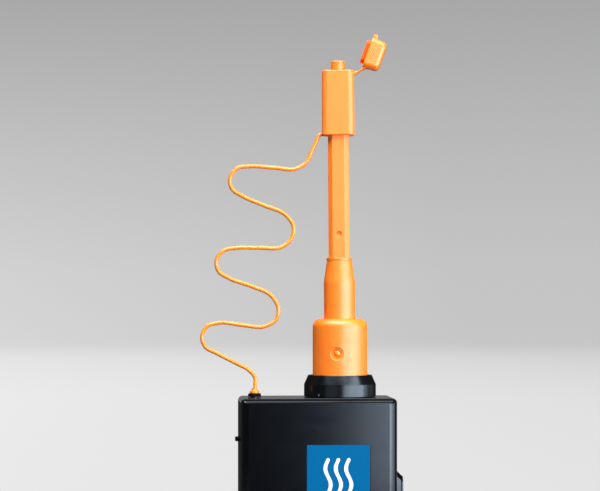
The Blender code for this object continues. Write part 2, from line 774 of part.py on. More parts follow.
def make_door():
    outline = rounded_outline(DOOR_WIDTH - 2 * GAP, DOOR_HEIGHT - 2 * GAP, DOOR_CORNER - GAP,
                              (0, DOOR_Z))
    door = slab("battery_door", outline, "XZ", BACK_Y - DOOR_THICK, BACK_Y)
    bevel_where(door, 0.0003, 1, lambda p: p.y > BACK_Y - GAP / 2)
    for number, z in enumerate(door_screw_zs()):
        cut(door, bar(f"door_hole_{number}", (0, BACK_Y - 0.004, z), (0, BACK_Y + PAST, z),
                      SHANK_HOLE_RADIUS))
    for number in range(GRIP_COUNT):
        z = DOOR_Z + GRIP_RISE + number * GRIP_PITCH
        groove = rounded_outline(*GRIP_SIZE, 0.0005, (0, z), 2)
        cut(door, slab(f"grip_{number}", groove, "XZ", BACK_Y - GRIP_DEPTH, BACK_Y + PAST))
    finish(door, BLACK)


def make_screws():
    """Pan-head screws with a cross recess, all sharing one shape."""
    point = SCREW_RADIUS - SCREW_POINT
    profile = [(0, SCREW_HEAD_HEIGHT), (SCREW_HEAD_RADIUS - 0.0008, SCREW_HEAD_HEIGHT),
               (SCREW_HEAD_RADIUS, SCREW_HEAD_HEIGHT - 0.0006), (SCREW_HEAD_RADIUS, 0),
               (SCREW_RADIUS, 0), (SCREW_RADIUS, 2 * SCREW_POINT - SCREW_LENGTH),
               (point, -SCREW_LENGTH), (0, -SCREW_LENGTH)]
    shape = turned("screw_shape", profile, 12)
    sizes = ((CROSS_HALF_LENGTH, CROSS_HALF_WIDTH), (CROSS_HALF_WIDTH, CROSS_HALF_LENGTH))
    for number, (u, v) in enumerate(sizes):
        cut(shape, box(f"cross_{number}", (-u, -v, SCREW_HEAD_HEIGHT - CROSS_DEPTH),
                       (u, v, SCREW_HEAD_HEIGHT + PAST)))
    mesh = bake(shape).data
    bpy.data.objects.remove(shape)
    places = [(f"case_screw_{n + 1}", x, SCREW_SEAT_Y, z) for n, (x, z) in enumerate(post_places())]
    for number, z in enumerate(door_screw_zs()):
        places.append((f"door_screw_{number + 1}", 0, BACK_Y + GAP, z))
    for name, x, y, z in places:
        screw = add_object(name, mesh.copy())
        screw.matrix_basis = along((x, y, z), (x, 1, z))
        finish(screw, STEEL)


# ---------------------------------------------------------------- flanks and gas path

def make_side_button():
    start = (-CASE_WIDTH / 2, SIDE_BUTTON_Y, SIDE_BUTTON_Z)
    axis = axis_empty("side_button_axis", along(start, (-1, SIDE_BUTTON_Y, SIDE_BUTTON_Z)))
    radius, proud = SIDE_BUTTON_RADIUS, SIDE_BUTTON_PROUD
    flange = radius + 0.0011
    inside = -WALL - GAP
    behind = inside - FLANGE_OUT
    profile = [(0, proud), *arc((radius - 0.0006, proud - 0.0006), 0.0006, 90, 0, 3),
               (radius, inside), (flange, inside), (flange, behind), (0, behind)]
    finish(turned("side_button", profile, 16), DARK_RUBBER, axis)
    spring = coil("side_button_spring", 0.0019, 0.0002, 0.0011, 3,
                  Matrix.Translation((0, 0, behind - 0.0038)))
    finish(spring, STEEL, axis)
    wide, deep, high = SWITCH_SIZE
    left = SWITCH_X + GAP
    switch = box("side_switch", (left, SIDE_BUTTON_Y - deep / 2, SIDE_BUTTON_Z - high / 2),
                 (left + wide, SIDE_BUTTON_Y + deep / 2, SIDE_BUTTON_Z + high / 2))
    finish(switch, DARK_RUBBER)


def pod_outline(draw_in=(0, 0)):
    """The pod's side view, with sloping ends, drawn in at the front and back and at the ends."""
    corners = [
        (POD_FRONT_Y, POD_BOTTOM + POD_SLOPE), (POD_FRONT_Y + POD_SLOPE, POD_BOTTOM),
        (POD_BACK_Y - POD_SLOPE, POD_BOTTOM), (POD_BACK_Y, POD_BOTTOM + POD_SLOPE),
        (POD_BACK_Y, POD_TOP - POD_SLOPE), (POD_BACK_Y - POD_SLOPE, POD_TOP),
        (POD_FRONT_Y + POD_SLOPE, POD_TOP), (POD_FRONT_Y, POD_TOP - POD_SLOPE),
    ]
    middle_y, middle_z = (POD_FRONT_Y + POD_BACK_Y) / 2, (POD_BOTTOM + POD_TOP) / 2
    share_y = 1 - 2 * draw_in[0] / (POD_BACK_Y - POD_FRONT_Y)
    share_z = 1 - 2 * draw_in[1] / (POD_TOP - POD_BOTTOM)
    return [(middle_y + (y - middle_y) * share_y, middle_z + (z - middle_z) * share_z)
            for y, z in corners]


def sloped_slab(name, base_draw_in, face_draw_in, low, high):
    """A pod piece between two heights, whose sides slope from its base to its outer face."""
    piece = slab(name, pod_outline(base_draw_in), "YZ", low, high)
    base, face = pod_outline(base_draw_in), pod_outline(face_draw_in)
    for vertex in piece.data.vertices:
        if vertex.co.x > (low + high) / 2:
            corner = min(range(len(base)), key=lambda i: (Vector(base[i]) - vertex.co.yz).length)
            vertex.co.y, vertex.co.z = face[corner]
    return piece


def make_pod():
    flank = CASE_WIDTH / 2 + GAP
    outer = CASE_WIDTH / 2 + POD_PROUD
    seam = outer - POD_COVER_THICK
    pod = sloped_slab("side_pod", (0, 0), POD_DRAW_IN, flank, seam - GAP)
    finish(pod, BLACK)
    cover_base = (POD_DRAW_IN[0] + GAP, POD_DRAW_IN[1] + GAP)
    finish(sloped_slab("pod_cover", cover_base, POD_COVER_DRAW_IN, seam, outer), BLACK)


def make_line():
    low, high = LINE_ROUTE[0][1], LINE_ROUTE[-1][1]
    end_y = -math.sin(WAND_TURN) * (HEAD_WIDTH / 2 + GAP)
    points = [(x, end_y * (z - low) / (high - low), z) for x, z in LINE_ROUTE]
    finish(tube("sample_line", smooth_route(points, LINE_STEP), LINE_RADIUS), ORANGE)


def make_line_entry():
    """Grommet, ferrule and brass fitting where the sample line enters the casing."""
    place = Matrix.Translation((LINE_X, 0, TOP + GAP))
    bend = 0.0007
    grommet = [(GROMMET_RADIUS - bend, GROMMET_HEIGHT), (GROMMET_RADIUS, GROMMET_HEIGHT - bend),
               (GROMMET_RADIUS, 0), (GROMMET_BORE, 0), (GROMMET_BORE, GROMMET_HEIGHT)]
    finish(turned("line_grommet", grommet, 20, ring=True, place=place), DARK_RUBBER)
    rim_low, rim_high = GROMMET_HEIGHT + GAP, GROMMET_HEIGHT + GAP + 0.0005
    ferrule = [(0.0020, FERRULE_TOP), (FERRULE_NECK, FERRULE_TOP - 0.0006), (FERRULE_NECK, rim_high),
               (FERRULE_RADIUS, rim_high), (FERRULE_RADIUS, rim_low), (FERRULE_NECK, rim_low),
               (FERRULE_NECK, FERRULE_BOTTOM), (FERRULE_BORE, FERRULE_BOTTOM),
               (FERRULE_BORE, FERRULE_TOP)]
    finish(turned("line_ferrule", ferrule, 16, ring=True, place=place), ORANGE)
    step, floor = -0.0072, -0.0066
    bore, barb = 0.0009, 0.0018
    fitting = [(FITTING_RADIUS, FITTING_TOP), (FITTING_RADIUS, step), (barb, step),
               (barb, FITTING_BOTTOM), (bore, FITTING_BOTTOM), (bore, floor),
               (FITTING_SEAT, floor), (FITTING_SEAT, FITTING_TOP)]
    finish(turned("inlet_fitting", fitting, 12, ring=True, place=place), BRASS)


def make_gas_path():
    pump = box("sample_pump", PUMP_LOW, PUMP_HIGH)
    bevel_where(pump, 0.0015, 2, lambda p: True)
    finish(pump, DARK_RUBBER)
    pump_middle = (Vector(PUMP_LOW) + Vector(PUMP_HIGH)) / 2
    motor = [(0, MOTOR_HEIGHT), (MOTOR_RADIUS - 0.0005, MOTOR_HEIGHT),
             (MOTOR_RADIUS, MOTOR_HEIGHT - 0.0005), (MOTOR_RADIUS, 0.001),
             (MOTOR_RADIUS - 0.001, 0), (0, 0)]
    place = Matrix.Translation((pump_middle.x, pump_middle.y, PUMP_LOW[2] - GAP - MOTOR_HEIGHT))
    finish(turned("pump_motor", motor, 20, place=place), STEEL)
    block = box("sensor_block", SENSOR_LOW, SENSOR_HIGH)
    bevel_where(block, 0.001, 1, lambda p: True)
    x, y, _ = (Vector(SENSOR_LOW) + Vector(SENSOR_HIGH)) / 2
    cut(block, bar("cell_seat", (x, y, CELL_SEAT_Z), (x, y, SENSOR_HIGH[2] + 0.0025),
                   CELL_RADIUS + 0.0004, 24))
    finish(block, WHITE)
    cell = [(0, CELL_HEIGHT), (CELL_RADIUS - 0.0015, CELL_HEIGHT), (CELL_RADIUS, CELL_HEIGHT - 0.0008),
            (CELL_RADIUS, 0), (0, 0)]
    place = Matrix.Translation((x, y, CELL_SEAT_Z + GAP))
    finish(turned("sensor_cell", cell, 24, place=place), STEEL)
    inlet = (
        (LINE_X, 0, 0.1772), (LINE_X, 0, 0.1720), (-0.0382, -0.0018, 0.1662),
        (-0.0335, -0.0026, 0.1618), (-0.0300, -0.0010, 0.1580), (-0.0300, -0.0010, 0.1546),
    )
    finish(tube("inlet_hose", smooth_route(inlet, HOSE_STEP), HOSE_RADIUS), WHITE)
    outlet = (
        (-0.0134, 0.0040, 0.1340), (-0.0110, 0.0040, 0.1340), (-0.0063, 0.0040, 0.1300),
        (-0.0050, 0.0040, 0.1200), (-0.0050, 0.0035, 0.1080), (-0.0030, 0.0030, 0.1010),
        (0.0012, 0.0030, 0.0995), (0.0034, 0.0030, 0.0995),
    )
    finish(tube("pump_hose", smooth_route(outlet, HOSE_STEP), HOSE_RADIUS), WHITE)


# ---------------------------------------------------------------- wand base

def make_collar(axis):
    body = COLLAR_HEIGHT - COLLAR_CHAMFER
    bore = SLEEVE_RADIUS + GAP
    neck_bore = TUBE_RADIUS + GAP
    bend = 0.0005
    profile = [
        (COLLAR_TOP_RADIUS, TOP + COLLAR_HEIGHT), (COLLAR_RADIUS, TOP + body),
        (COLLAR_RADIUS, TOP + GAP), (NECK_RADIUS, TOP + GAP), (NECK_RADIUS, TOP - NECK_DROP),
        (neck_bore, TOP - NECK_DROP), (neck_bore, TOP + COLLAR_FLOOR), (bore, TOP + COLLAR_FLOOR),
        (bore, TOP + COLLAR_HEIGHT - bend), (bore + bend, TOP + COLLAR_HEIGHT),
    ]
    finish(turned("collar", profile, 36, ring=True), BLACK, axis)
    nut_top = TOP - WALL - GAP
    nut = ring_profile(NECK_RADIUS + GAP, NUT_RADIUS, nut_top - NUT_HEIGHT, nut_top)
    finish(turned("collar_nut", nut, 24, ring=True), DARK_RUBBER, axis)


def make_sleeve(axis):
    low = TOP + COLLAR_FLOOR + GAP
    high = TOP + SLEEVE_TOP
    lid = high - SLEEVE_LID
    hole = GUIDE_RADIUS + GAP
    shoulder = arc((SLEEVE_RADIUS - SLEEVE_ROUND, high - SLEEVE_ROUND), SLEEVE_ROUND, 90, 0, 5)
    profile = [*shoulder, (SLEEVE_RADIUS, low), (SLEEVE_BORE, low), (SLEEVE_BORE, lid),
               (hole, lid), (hole, high)]
    sleeve = turned("base_sleeve", profile, 36, ring=True)
    cut(sleeve, bar("button_recess", BUTTON_CENTRE + BUTTON_WAY * RECESS_FLOOR,
                    BUTTON_CENTRE + BUTTON_WAY * (SLEEVE_RADIUS + PAST),
                    RECESS_RADIUS - RECESS_TAPER, 20, RECESS_RADIUS + RECESS_TAPER))
    cut(sleeve, bar("button_hole", BUTTON_CENTRE + BUTTON_WAY * 0.010,
                    BUTTON_CENTRE + BUTTON_WAY * (SLEEVE_RADIUS + PAST), BUTTON_RADIUS + GAP, 20))
    finish(sleeve, ORANGE, axis)


def make_guide(axis):
    lid = TOP + SLEEVE_TOP - SLEEVE_LID - GAP
    flange_low = lid - GUIDE_FLANGE
    lip = TOP + GUIDE_TOP - GUIDE_LIP_HEIGHT
    profile = [
        (0, TOP + GUIDE_TOP), (GUIDE_LIP_RADIUS - 0.0003, TOP + GUIDE_TOP),
        (GUIDE_LIP_RADIUS, TOP + GUIDE_TOP - 0.0004), (GUIDE_LIP_RADIUS, lip),
        (GUIDE_TOP_RADIUS, lip - 0.0003), (GUIDE_RADIUS - 0.0003, TOP + GUIDE_STRAIGHT_TOP),
        (GUIDE_RADIUS, TOP + GUIDE_STRAIGHT_TOP - 0.003), (GUIDE_RADIUS, lid),
        (FLANGE_RADIUS - GAP, lid), (FLANGE_RADIUS - GAP, flange_low), (0, flange_low),
    ]
    guide = turned("taper_guide", profile, 32)
    bore = chamfered_outline(ROD_WIDTH + 2 * GAP, ROD_CHAMFER + GAP / 2)
    cut(guide, slab("guide_bore", bore, "XY", flange_low - PAST, TOP + GUIDE_TOP + PAST))
    finish(guide, ORANGE, axis)
    top = flange_low - GAP
    low = top - SEAL_THICK
    bend = 0.0004
    seal = turned("wiper_seal", [(0, top), (FLANGE_RADIUS - GAP - bend, top),
                                 (FLANGE_RADIUS - GAP, top - bend), (FLANGE_RADIUS - GAP, low),
                                 (0, low)], 24)
    cut(seal, slab("seal_bore", bore, "XY", low - PAST, top + PAST))
    finish(seal, DARK_RUBBER, axis)


def make_guide_tube(axis):
    flange_low = TOP + COLLAR_FLOOR + GAP
    flange_top = flange_low + TUBE_FLANGE
    floor = TUBE_BOTTOM_Z + TUBE_FLOOR
    profile = [
        (FLANGE_RADIUS, flange_top), (FLANGE_RADIUS, flange_low), (TUBE_RADIUS, flange_low),
        (TUBE_RADIUS, TUBE_BOTTOM_Z), (0.002, TUBE_BOTTOM_Z), (0.002, floor), (TUBE_BORE, floor),
        (TUBE_BORE, flange_top),
    ]
    finish(turned("guide_tube", profile, 24, ring=True), DARK_RUBBER, axis)
    seal_low = TOP + SLEEVE_TOP - SLEEVE_LID - GAP - GUIDE_FLANGE - GAP - SEAL_THICK
    liner = turned("lock_liner", ring_profile(LINER_BORE, LINER_RADIUS, flange_top + GAP,
                                              seal_low - 2 * GAP), 24, ring=True)
    cut(liner, bar("stem_hole", BUTTON_CENTRE + BUTTON_WAY * 0.004,
                   BUTTON_CENTRE + BUTTON_WAY * 0.012, STEM_RADIUS + GAP, 12))
    finish(liner, STEEL, axis)


def make_lock_button(axis):
    """The button's space has +Z pointing out of the sleeve, from the wand's axis."""
    press = axis_empty("lock_button_axis", along(BUTTON_CENTRE, BUTTON_CENTRE + BUTTON_WAY), axis)
    outer = SLEEVE_RADIUS - 0.0002
    dome = arc((0, outer - BUTTON_DOME), BUTTON_DOME, 90, 54, 3)
    behind = BUTTON_FLANGE - BUTTON_FLANGE_THICK
    profile = [*dome, (BUTTON_RADIUS, outer - 0.0012), (BUTTON_RADIUS, BUTTON_FLANGE),
               (BUTTON_FLANGE_RADIUS, BUTTON_FLANGE), (BUTTON_FLANGE_RADIUS, behind),
               (STEM_RADIUS, behind), (STEM_RADIUS, STEM_END), (0, STEM_END)]
    finish(turned("lock_button", profile, 20), ORANGE, press)
    pitch, turns, wire = 0.00042, 2, 0.00018
    spring = coil("lock_button_spring", 0.0026, wire, pitch, turns,
                  Matrix.Translation((0, 0, behind - wire - GAP / 15 - pitch * turns)))
    finish(spring, STEEL, press)


# ---------------------------------------------------------------- moving wand

def make_rod(axis):
    low, high = TOP + ROD_BOTTOM, TOP + HEAD_BOTTOM + ROD_IN_HEAD
    rod = slab("wand_rod", chamfered_outline(ROD_WIDTH, ROD_CHAMFER), "XY", low, high)
    hollow = chamfered_outline(ROD_WIDTH - 2 * ROD_WALL, ROD_CHAMFER - 0.0008)
    cut(rod, slab("rod_hollow", hollow, "XY", low - PAST, high + PAST))
    face = -ROD_WIDTH / 2
    for number, height in enumerate((DIMPLE_HEIGHT, BUTTON_HEIGHT)):
        z = TOP + height
        cut(rod, bar(f"dimple_{number}", (0, face - PAST, z), (0, face + DIMPLE_DEPTH, z),
                     DIMPLE_RADIUS + PAST / 2, 16, DIMPLE_RADIUS - 0.0004))
    finish(rod, ORANGE, axis)
    plug_top, rim_top, rim_low = low + FOOT_PLUG_HEIGHT, low - GAP, low - FOOT_THICK
    bend = 0.0003
    foot = [(0, plug_top), (FOOT_PLUG_RADIUS - 0.0004, plug_top), (FOOT_PLUG_RADIUS, plug_top - 0.001),
            (FOOT_PLUG_RADIUS, rim_top), (FOOT_RADIUS - bend, rim_top), (FOOT_RADIUS, rim_top - bend),
            (FOOT_RADIUS, rim_low), (0, rim_low)]
    finish(turned("rod_foot", foot, 20), DARK_RUBBER, axis)


def make_head(axis):
    low, high = TOP + HEAD_BOTTOM, TOP + HEAD_TOP
    outline = rounded_outline(HEAD_WIDTH, HEAD_DEPTH, HEAD_CORNER, steps=5)
    head = slab("head_block", outline, "XY", low, high)
    bevel_where(head, 0.0007, 2, lambda p: True)
    for vertex in head.data.vertices:
        narrower = 1 - HEAD_DRAFT / (HEAD_WIDTH / 2) * (vertex.co.z - low) / (high - low)
        vertex.co.x *= narrower
        vertex.co.y *= narrower
    join(head, make_head_lug(high))
    recess = rounded_outline(*CAP_RECESS_SIZE, 0.0025)
    cut(head, slab("cap_recess", recess, "XY", high - CAP_RECESS_DEPTH, high + PAST))
    cut(head, bar("filter_seat", (0, 0, FILTER_SEAT_Z), (0, 0, high), FILTER_SEAT_RADIUS, 20))
    socket = chamfered_outline(ROD_WIDTH + 2 * GAP, ROD_CHAMFER + GAP / 2)
    cut(head, slab("rod_socket", socket, "XY", low - PAST, low + ROD_IN_HEAD + GAP))
    port_z = low + PORT_HEIGHT
    across_z = low + PORT_RISE
    cut(head, bar("port_in", (-0.012, 0, port_z), (PORT_X, 0, port_z), PORT_RADIUS, 10))
    cut(head, bar("port_up", (PORT_X, 0, port_z - 0.0007), (PORT_X, 0, across_z + PAST), PORT_RADIUS, 10))
    cut(head, bar("port_across", (PORT_X - 0.0002, 0, across_z), (-0.002, 0, FILTER_SEAT_Z + PAST),
                  PORT_RADIUS, 10))
    finish(head, ORANGE, axis)


def make_head_lug(high):
    """The head's half of the cap's living hinge."""
    side = HEAD_WIDTH / 2 - HEAD_DRAFT
    outline = [
        (side - 0.001, high - 0.0004), (side - 0.001, high - 0.0040), (side, high - 0.0040),
        (HINGE_X - 0.0016, high - HINGE_DROP - 0.0009), (HINGE_X - 0.0013, high - HINGE_DROP),
        (side + 0.0006, high - 0.0004),
    ]
    return slab("hinge_lug", outline, "XZ", -HINGE_DEPTH / 2, HINGE_DEPTH / 2)


def make_nozzle(axis):
    radius = NOZZLE_FLANGE_RADIUS
    low, high = FILTER_SEAT_Z + GAP, FILTER_SEAT_Z + FILTER_THICK
    disc = [(0, high), (radius, high), (radius, low), (0, low)]
    finish(turned("filter_disc", disc, 16), WHITE, axis)
    base = high + GAP
    step = base + NOZZLE_FLANGE
    tip = TOP + HEAD_TOP + NOZZLE_HEIGHT
    profile = [
        (NOZZLE_RADIUS - 0.0006, tip), (NOZZLE_RADIUS - 0.0002, tip - 0.0002),
        (NOZZLE_RADIUS, tip - 0.0006), (NOZZLE_RADIUS, step), (radius, step), (radius, base),
        (NOZZLE_BORE, base), (NOZZLE_BORE, tip - 0.0006), (NOZZLE_BORE + 0.001, tip),
    ]
    finish(turned("nozzle", profile, 24, ring=True), ORANGE, axis)


def make_cap(axis):
    """Modelled closed, about its hinge: the head's middle is at -HINGE_X, its top is HINGE_DROP up."""
    rim = HINGE_DROP + GAP
    roof = rim + CAP_HEIGHT
    outline = rounded_outline(CAP_LENGTH, HEAD_DEPTH, CAP_CORNER, CAP_MIDDLE, 4)
    cap = slab("flip_cap", outline, "XY", rim, roof)
    bevel_where(cap, CAP_ROUND, 3, lambda p: p.z > roof - GAP)
    bevel_where(cap, 0.0004, 1, lambda p: p.z < rim + GAP)
    skirt = rounded_outline(*CAP_SKIRT_SIZE, 0.0025, CAP_MIDDLE)
    join(cap, slab("cap_skirt", skirt, "XY", rim - CAP_SKIRT_DROP, rim + PAST))
    far = -HINGE_X - CAP_LENGTH / 2
    tab_long, tab_deep, tab_thick = CAP_TAB
    tab = box("cap_tab", (far - tab_long, -tab_deep / 2, rim),
              (far + PAST, tab_deep / 2, rim + tab_thick))
    bevel_where(tab, 0.0008, 2, lambda p: p.x < far - tab_long / 2)
    join(cap, tab)
    near = -HINGE_X + CAP_LENGTH / 2
    lug = [(near - PAST, rim + 0.0001), (near, rim + 0.0001), (-0.0004, 0.0),
           (0.0004, 0.0005), (near, rim + 0.0026), (near - PAST, rim + 0.0026)]
    join(cap, slab("cap_lug", lug, "XZ", -HINGE_DEPTH / 2, HINGE_DEPTH / 2))
    join(cap, bar("cap_barrel", (0, -HINGE_DEPTH / 2, 0), (0, HINGE_DEPTH / 2, 0), HINGE_RADIUS, 14))
    cavity = rounded_outline(*CAP_CAVITY_SIZE, 0.0025, CAP_MIDDLE)
    cut(cap, slab("cap_cavity", cavity, "XY", rim - CAP_SKIRT_DROP - PAST, roof - CAP_ROOF))
    finish(cap, ORANGE, axis)


# ---------------------------------------------------------------- assembly

def build():
    make_rear_shell()
    make_front_shell()
    make_gasket()
    make_label()
    make_display()
    make_lens()
    make_keys()
    make_board()
    make_battery()
    make_door()
    make_screws()
    make_side_button()
    make_pod()
    make_line()
    make_line_entry()
    make_gas_path()
    wand = axis_empty("wand_axis", Matrix.Translation((WAND_X, 0, 0)))
    make_collar(wand)
    make_sleeve(wand)
    make_guide_tube(wand)
    make_lock_button(wand)
    pivot = Matrix.Translation((0, 0, LEAN_Z))
    lean = pivot @ Matrix.Rotation(WAND_LEAN, 4, "Y") @ pivot.inverted()
    slide = axis_empty("wand_slide", lean @ Matrix.Rotation(WAND_TURN, 4, "Z"), wand)
    make_guide(slide)
    make_rod(slide)
    make_head(slide)
    make_nozzle(slide)
    hinge = Matrix.Translation((HINGE_X, 0, TOP + HEAD_TOP - HINGE_DROP))
    make_cap(axis_empty("cap_hinge", hinge @ Matrix.Rotation(CAP_OPEN, 4, "Y"), slide))
    bpy.context.view_layer.update()


build()
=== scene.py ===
"""Looks of the portable gas detector: fine pieces, materials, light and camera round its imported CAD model.

Metres, +Z up, in the CAD's own frame. Each visible CAD solid is replaced by a finer piece of the same
size, and the pieces inside the casing keep their solids.
"""

import json
import math

import bmesh
import bpy
from mathutils import Matrix, Vector


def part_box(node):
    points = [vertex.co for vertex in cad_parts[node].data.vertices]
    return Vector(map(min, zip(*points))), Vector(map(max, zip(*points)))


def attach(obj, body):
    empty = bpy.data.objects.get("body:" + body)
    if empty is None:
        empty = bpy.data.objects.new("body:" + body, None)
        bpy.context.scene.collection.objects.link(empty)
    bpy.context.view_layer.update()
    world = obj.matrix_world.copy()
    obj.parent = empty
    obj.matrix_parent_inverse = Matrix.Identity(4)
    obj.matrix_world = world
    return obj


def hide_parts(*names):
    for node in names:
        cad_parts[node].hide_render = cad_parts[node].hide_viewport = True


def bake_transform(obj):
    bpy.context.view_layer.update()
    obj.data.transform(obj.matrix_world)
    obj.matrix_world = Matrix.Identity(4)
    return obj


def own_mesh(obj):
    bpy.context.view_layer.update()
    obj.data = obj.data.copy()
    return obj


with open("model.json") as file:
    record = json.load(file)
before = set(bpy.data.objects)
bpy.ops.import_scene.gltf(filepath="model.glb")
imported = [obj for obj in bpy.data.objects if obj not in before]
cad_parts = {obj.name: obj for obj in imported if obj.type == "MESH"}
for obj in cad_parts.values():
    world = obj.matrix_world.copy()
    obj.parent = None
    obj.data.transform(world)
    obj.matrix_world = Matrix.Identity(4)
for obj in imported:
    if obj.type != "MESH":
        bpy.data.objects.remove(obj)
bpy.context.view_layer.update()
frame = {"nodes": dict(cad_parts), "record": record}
JOINTS = {joint["name"]: joint for joint in frame["record"]["behaviour"]["joints"]}

# ---------------------------------------------------------------- sizes

# Every corner of an outline has this many steps, so that any two outlines can be joined point by point.
STEPS = 8
SEGMENTS = 4 * (STEPS + 1)
ROUND = 128
SHARP = math.radians(32)
# The clearance between neighbouring pieces, and how far a cutter reaches past a face.
GAP = 0.0003
PAST = 0.001

CASE_LOW, CASE_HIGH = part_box("rear_shell")
CASE_WIDTH = CASE_HIGH.x - CASE_LOW.x
TOP = CASE_HIGH.z
RIM_Y = CASE_LOW.y
BACK_Y = CASE_HIGH.y
FACE_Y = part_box("front_shell")[0].y
COVER_BACK_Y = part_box("shell_gasket")[0].y - GAP
WALL = 0.0025
CASE_CORNER = 0.003
BACK_ROUND = 0.0027
COVER_INSET = 0.0015
COVER_DROP = 0.0019
COVER_SHOULDER = 0.0008
SIDE_CHAMFER = 0.0037
END_CHAMFER = 0.0013
CASE_HOLE_DEPTH = 0.006
CASE_SCREWS = [f"case_screw_{number}" for number in range(1, 5)]
DOOR_SCREWS = ["door_screw_1", "door_screw_2"]
FLANGE = 0.001
DOOR_CORNER = 0.0027
DOOR_SCREW_HOLE = 0.0018
WINDOW_CORNER = 0.0027
WINDOW_BORDER = 0.0029

HINGE = Vector(JOINTS["cap_hinge"]["pos_m"])
HINGE_AXIS = Vector(JOINTS["cap_hinge"]["axis"])
CAP_OPEN = math.radians(JOINTS["cap_hinge"]["range_deg"][1])
SLIDE_AXIS = Vector(JOINTS["wand_slide"]["axis"])
WAND_TURN = math.atan2(HINGE_AXIS.x, -HINGE_AXIS.y)
WAND_LEAN = math.atan2(SLIDE_AXIS.x, SLIDE_AXIS.z)
BUTTON_WAY = -Vector(JOINTS["lock_button_press"]["axis"])

SLEEVE_LOW, SLEEVE_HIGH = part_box("base_sleeve")
SLEEVE_RADIUS = (SLEEVE_HIGH.x - SLEEVE_LOW.x) / 2
SLEEVE_LID = 0.003
GUIDE_RADIUS = 0.01015
ROD_WIDTH = 0.0135
SOCKET_CHAMFER = 0.0029
WAND_X = (SLEEVE_LOW.x + SLEEVE_HIGH.x) / 2
# The wand's own frame: turned about the base's axis, and leaning a little about a point in the sleeve.
BASE = Matrix.Translation((WAND_X, 0, 0))
PIVOT = Matrix.Translation((0, 0, TOP + 0.026))
LEAN = PIVOT @ Matrix.Rotation(WAND_LEAN, 4, "Y") @ PIVOT.inverted()
WAND = BASE @ LEAN @ Matrix.Rotation(WAND_TURN, 4, "Z")


def axis_frame(at, way):
    """A matrix whose +Z points along way, from at."""
    return Matrix.Translation(at) @ Vector(way).to_track_quat("Z", "Y").to_matrix().to_4x4()


def middle_of(node):
    """The middle of a CAD node's box."""
    low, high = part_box(node)
    return (low + high) / 2


def front_view(node):
    """The middle (x, z), the width and the height of a CAD node, seen from the front."""
    low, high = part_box(node)
    return ((low.x + high.x) / 2, (low.z + high.z) / 2), high.x - low.x, high.z - low.z


def local_box(node, place):
    """The lowest and highest corner of a CAD node in another frame."""
    inverse = place.inverted()
    corners = [inverse @ vertex.co for vertex in frame["nodes"][node].data.vertices]
    low = Vector([min(co[i] for co in corners) for i in range(3)])
    high = Vector([max(co[i] for co in corners) for i in range(3)])
    return low, high


# ---------------------------------------------------------------- outlines

def arc(centre, radius, start, end, steps=STEPS):
    """Points on a round stretch, from one angle in degrees to the other."""
    points = []
    for step in range(steps + 1):
        angle = math.radians(start + (end - start) * step / steps)
        points.append((centre[0] + radius * math.cos(angle), centre[1] + radius * math.sin(angle)))
    return points


def rounded(width, height, corner, centre=(0, 0)):
    """A rectangle with round corners, anticlockwise."""
    points = []
    for number, (side_u, side_v) in enumerate(((1, 1), (-1, 1), (-1, -1), (1, -1))):
        middle = (
            centre[0] + side_u * (width / 2 - corner),
            centre[1] + side_v * (height / 2 - corner),
        )
        points += arc(middle, corner, number * 90, number * 90 + 90)
    return points


def chamfered(width, chamfer):
    """A square with its corners cut off, with as many points as the other outlines."""
    half = width / 2
    flat = half - chamfer
    points = []
    for turn in range(4):
        for step in range(STEPS + 1):
            along = step / STEPS
            u, v = half - chamfer * along, flat + chamfer * along
            points.append(((u, v), (-v, u), (-u, -v), (v, -u))[turn])
    return points


def disc(radius, centre=(0, 0)):
    """A circle with as many points as the other outlines."""
    points = []
    for step in range(SEGMENTS):
        angle = math.tau * (step + 0.5) / SEGMENTS
        points.append((centre[0] + radius * math.cos(angle), centre[1] + radius * math.sin(angle)))
    return points


PLANES = {
    "XY": lambda u, v, level: Vector((u, v, level)),
    "XZ": lambda u, v, level: Vector((u, level, v)),
    "YZ": lambda u, v, level: Vector((level, u, v)),
}


# ---------------------------------------------------------------- meshes

def mesh_object(name, shape, place=None):
    """A new object from a bmesh, in place."""
    bmesh.ops.remove_doubles(shape, verts=shape.verts, dist=1e-7)
    bmesh.ops.recalc_face_normals(shape, faces=shape.faces)
    mesh = bpy.data.meshes.new(name)
    shape.to_mesh(mesh)
    shape.free()
    if place is not None:
        mesh.transform(place)
    mesh.shade_smooth()
    mesh.set_sharp_from_angle(angle=SHARP)
    obj = bpy.data.objects.new(name, mesh)
    bpy.context.scene.collection.objects.link(obj)
    return obj


def add_rings(shape, rings, closed=False, capped=True):
    """Joins rings of points by faces, and returns the rings of vertices."""
    made = [[shape.verts.new(co) for co in ring] for ring in rings]
    pairs = list(zip(made, made[1:]))
    if closed:
        pairs.append((made[-1], made[0]))
    for lower, upper in pairs:
        count = len(lower)
        for i in range(count):
            j = (i + 1) % count
            shape.faces.new((lower[i], lower[j], upper[j], upper[i]))
    if capped and not closed:
        shape.faces.new(made[0])
        shape.faces.new(list(reversed(made[-1])))
    return made


def stack(name, plane, rings, closed=False, place=None):
    """A piece whose skin runs over (outline, level) rings, one after the other."""
    shape = bmesh.new()
    to_space = PLANES[plane]
    add_rings(shape, [[to_space(u, v, level) for u, v in outline] for outline, level in rings], closed)
    return mesh_object(name, shape, place)


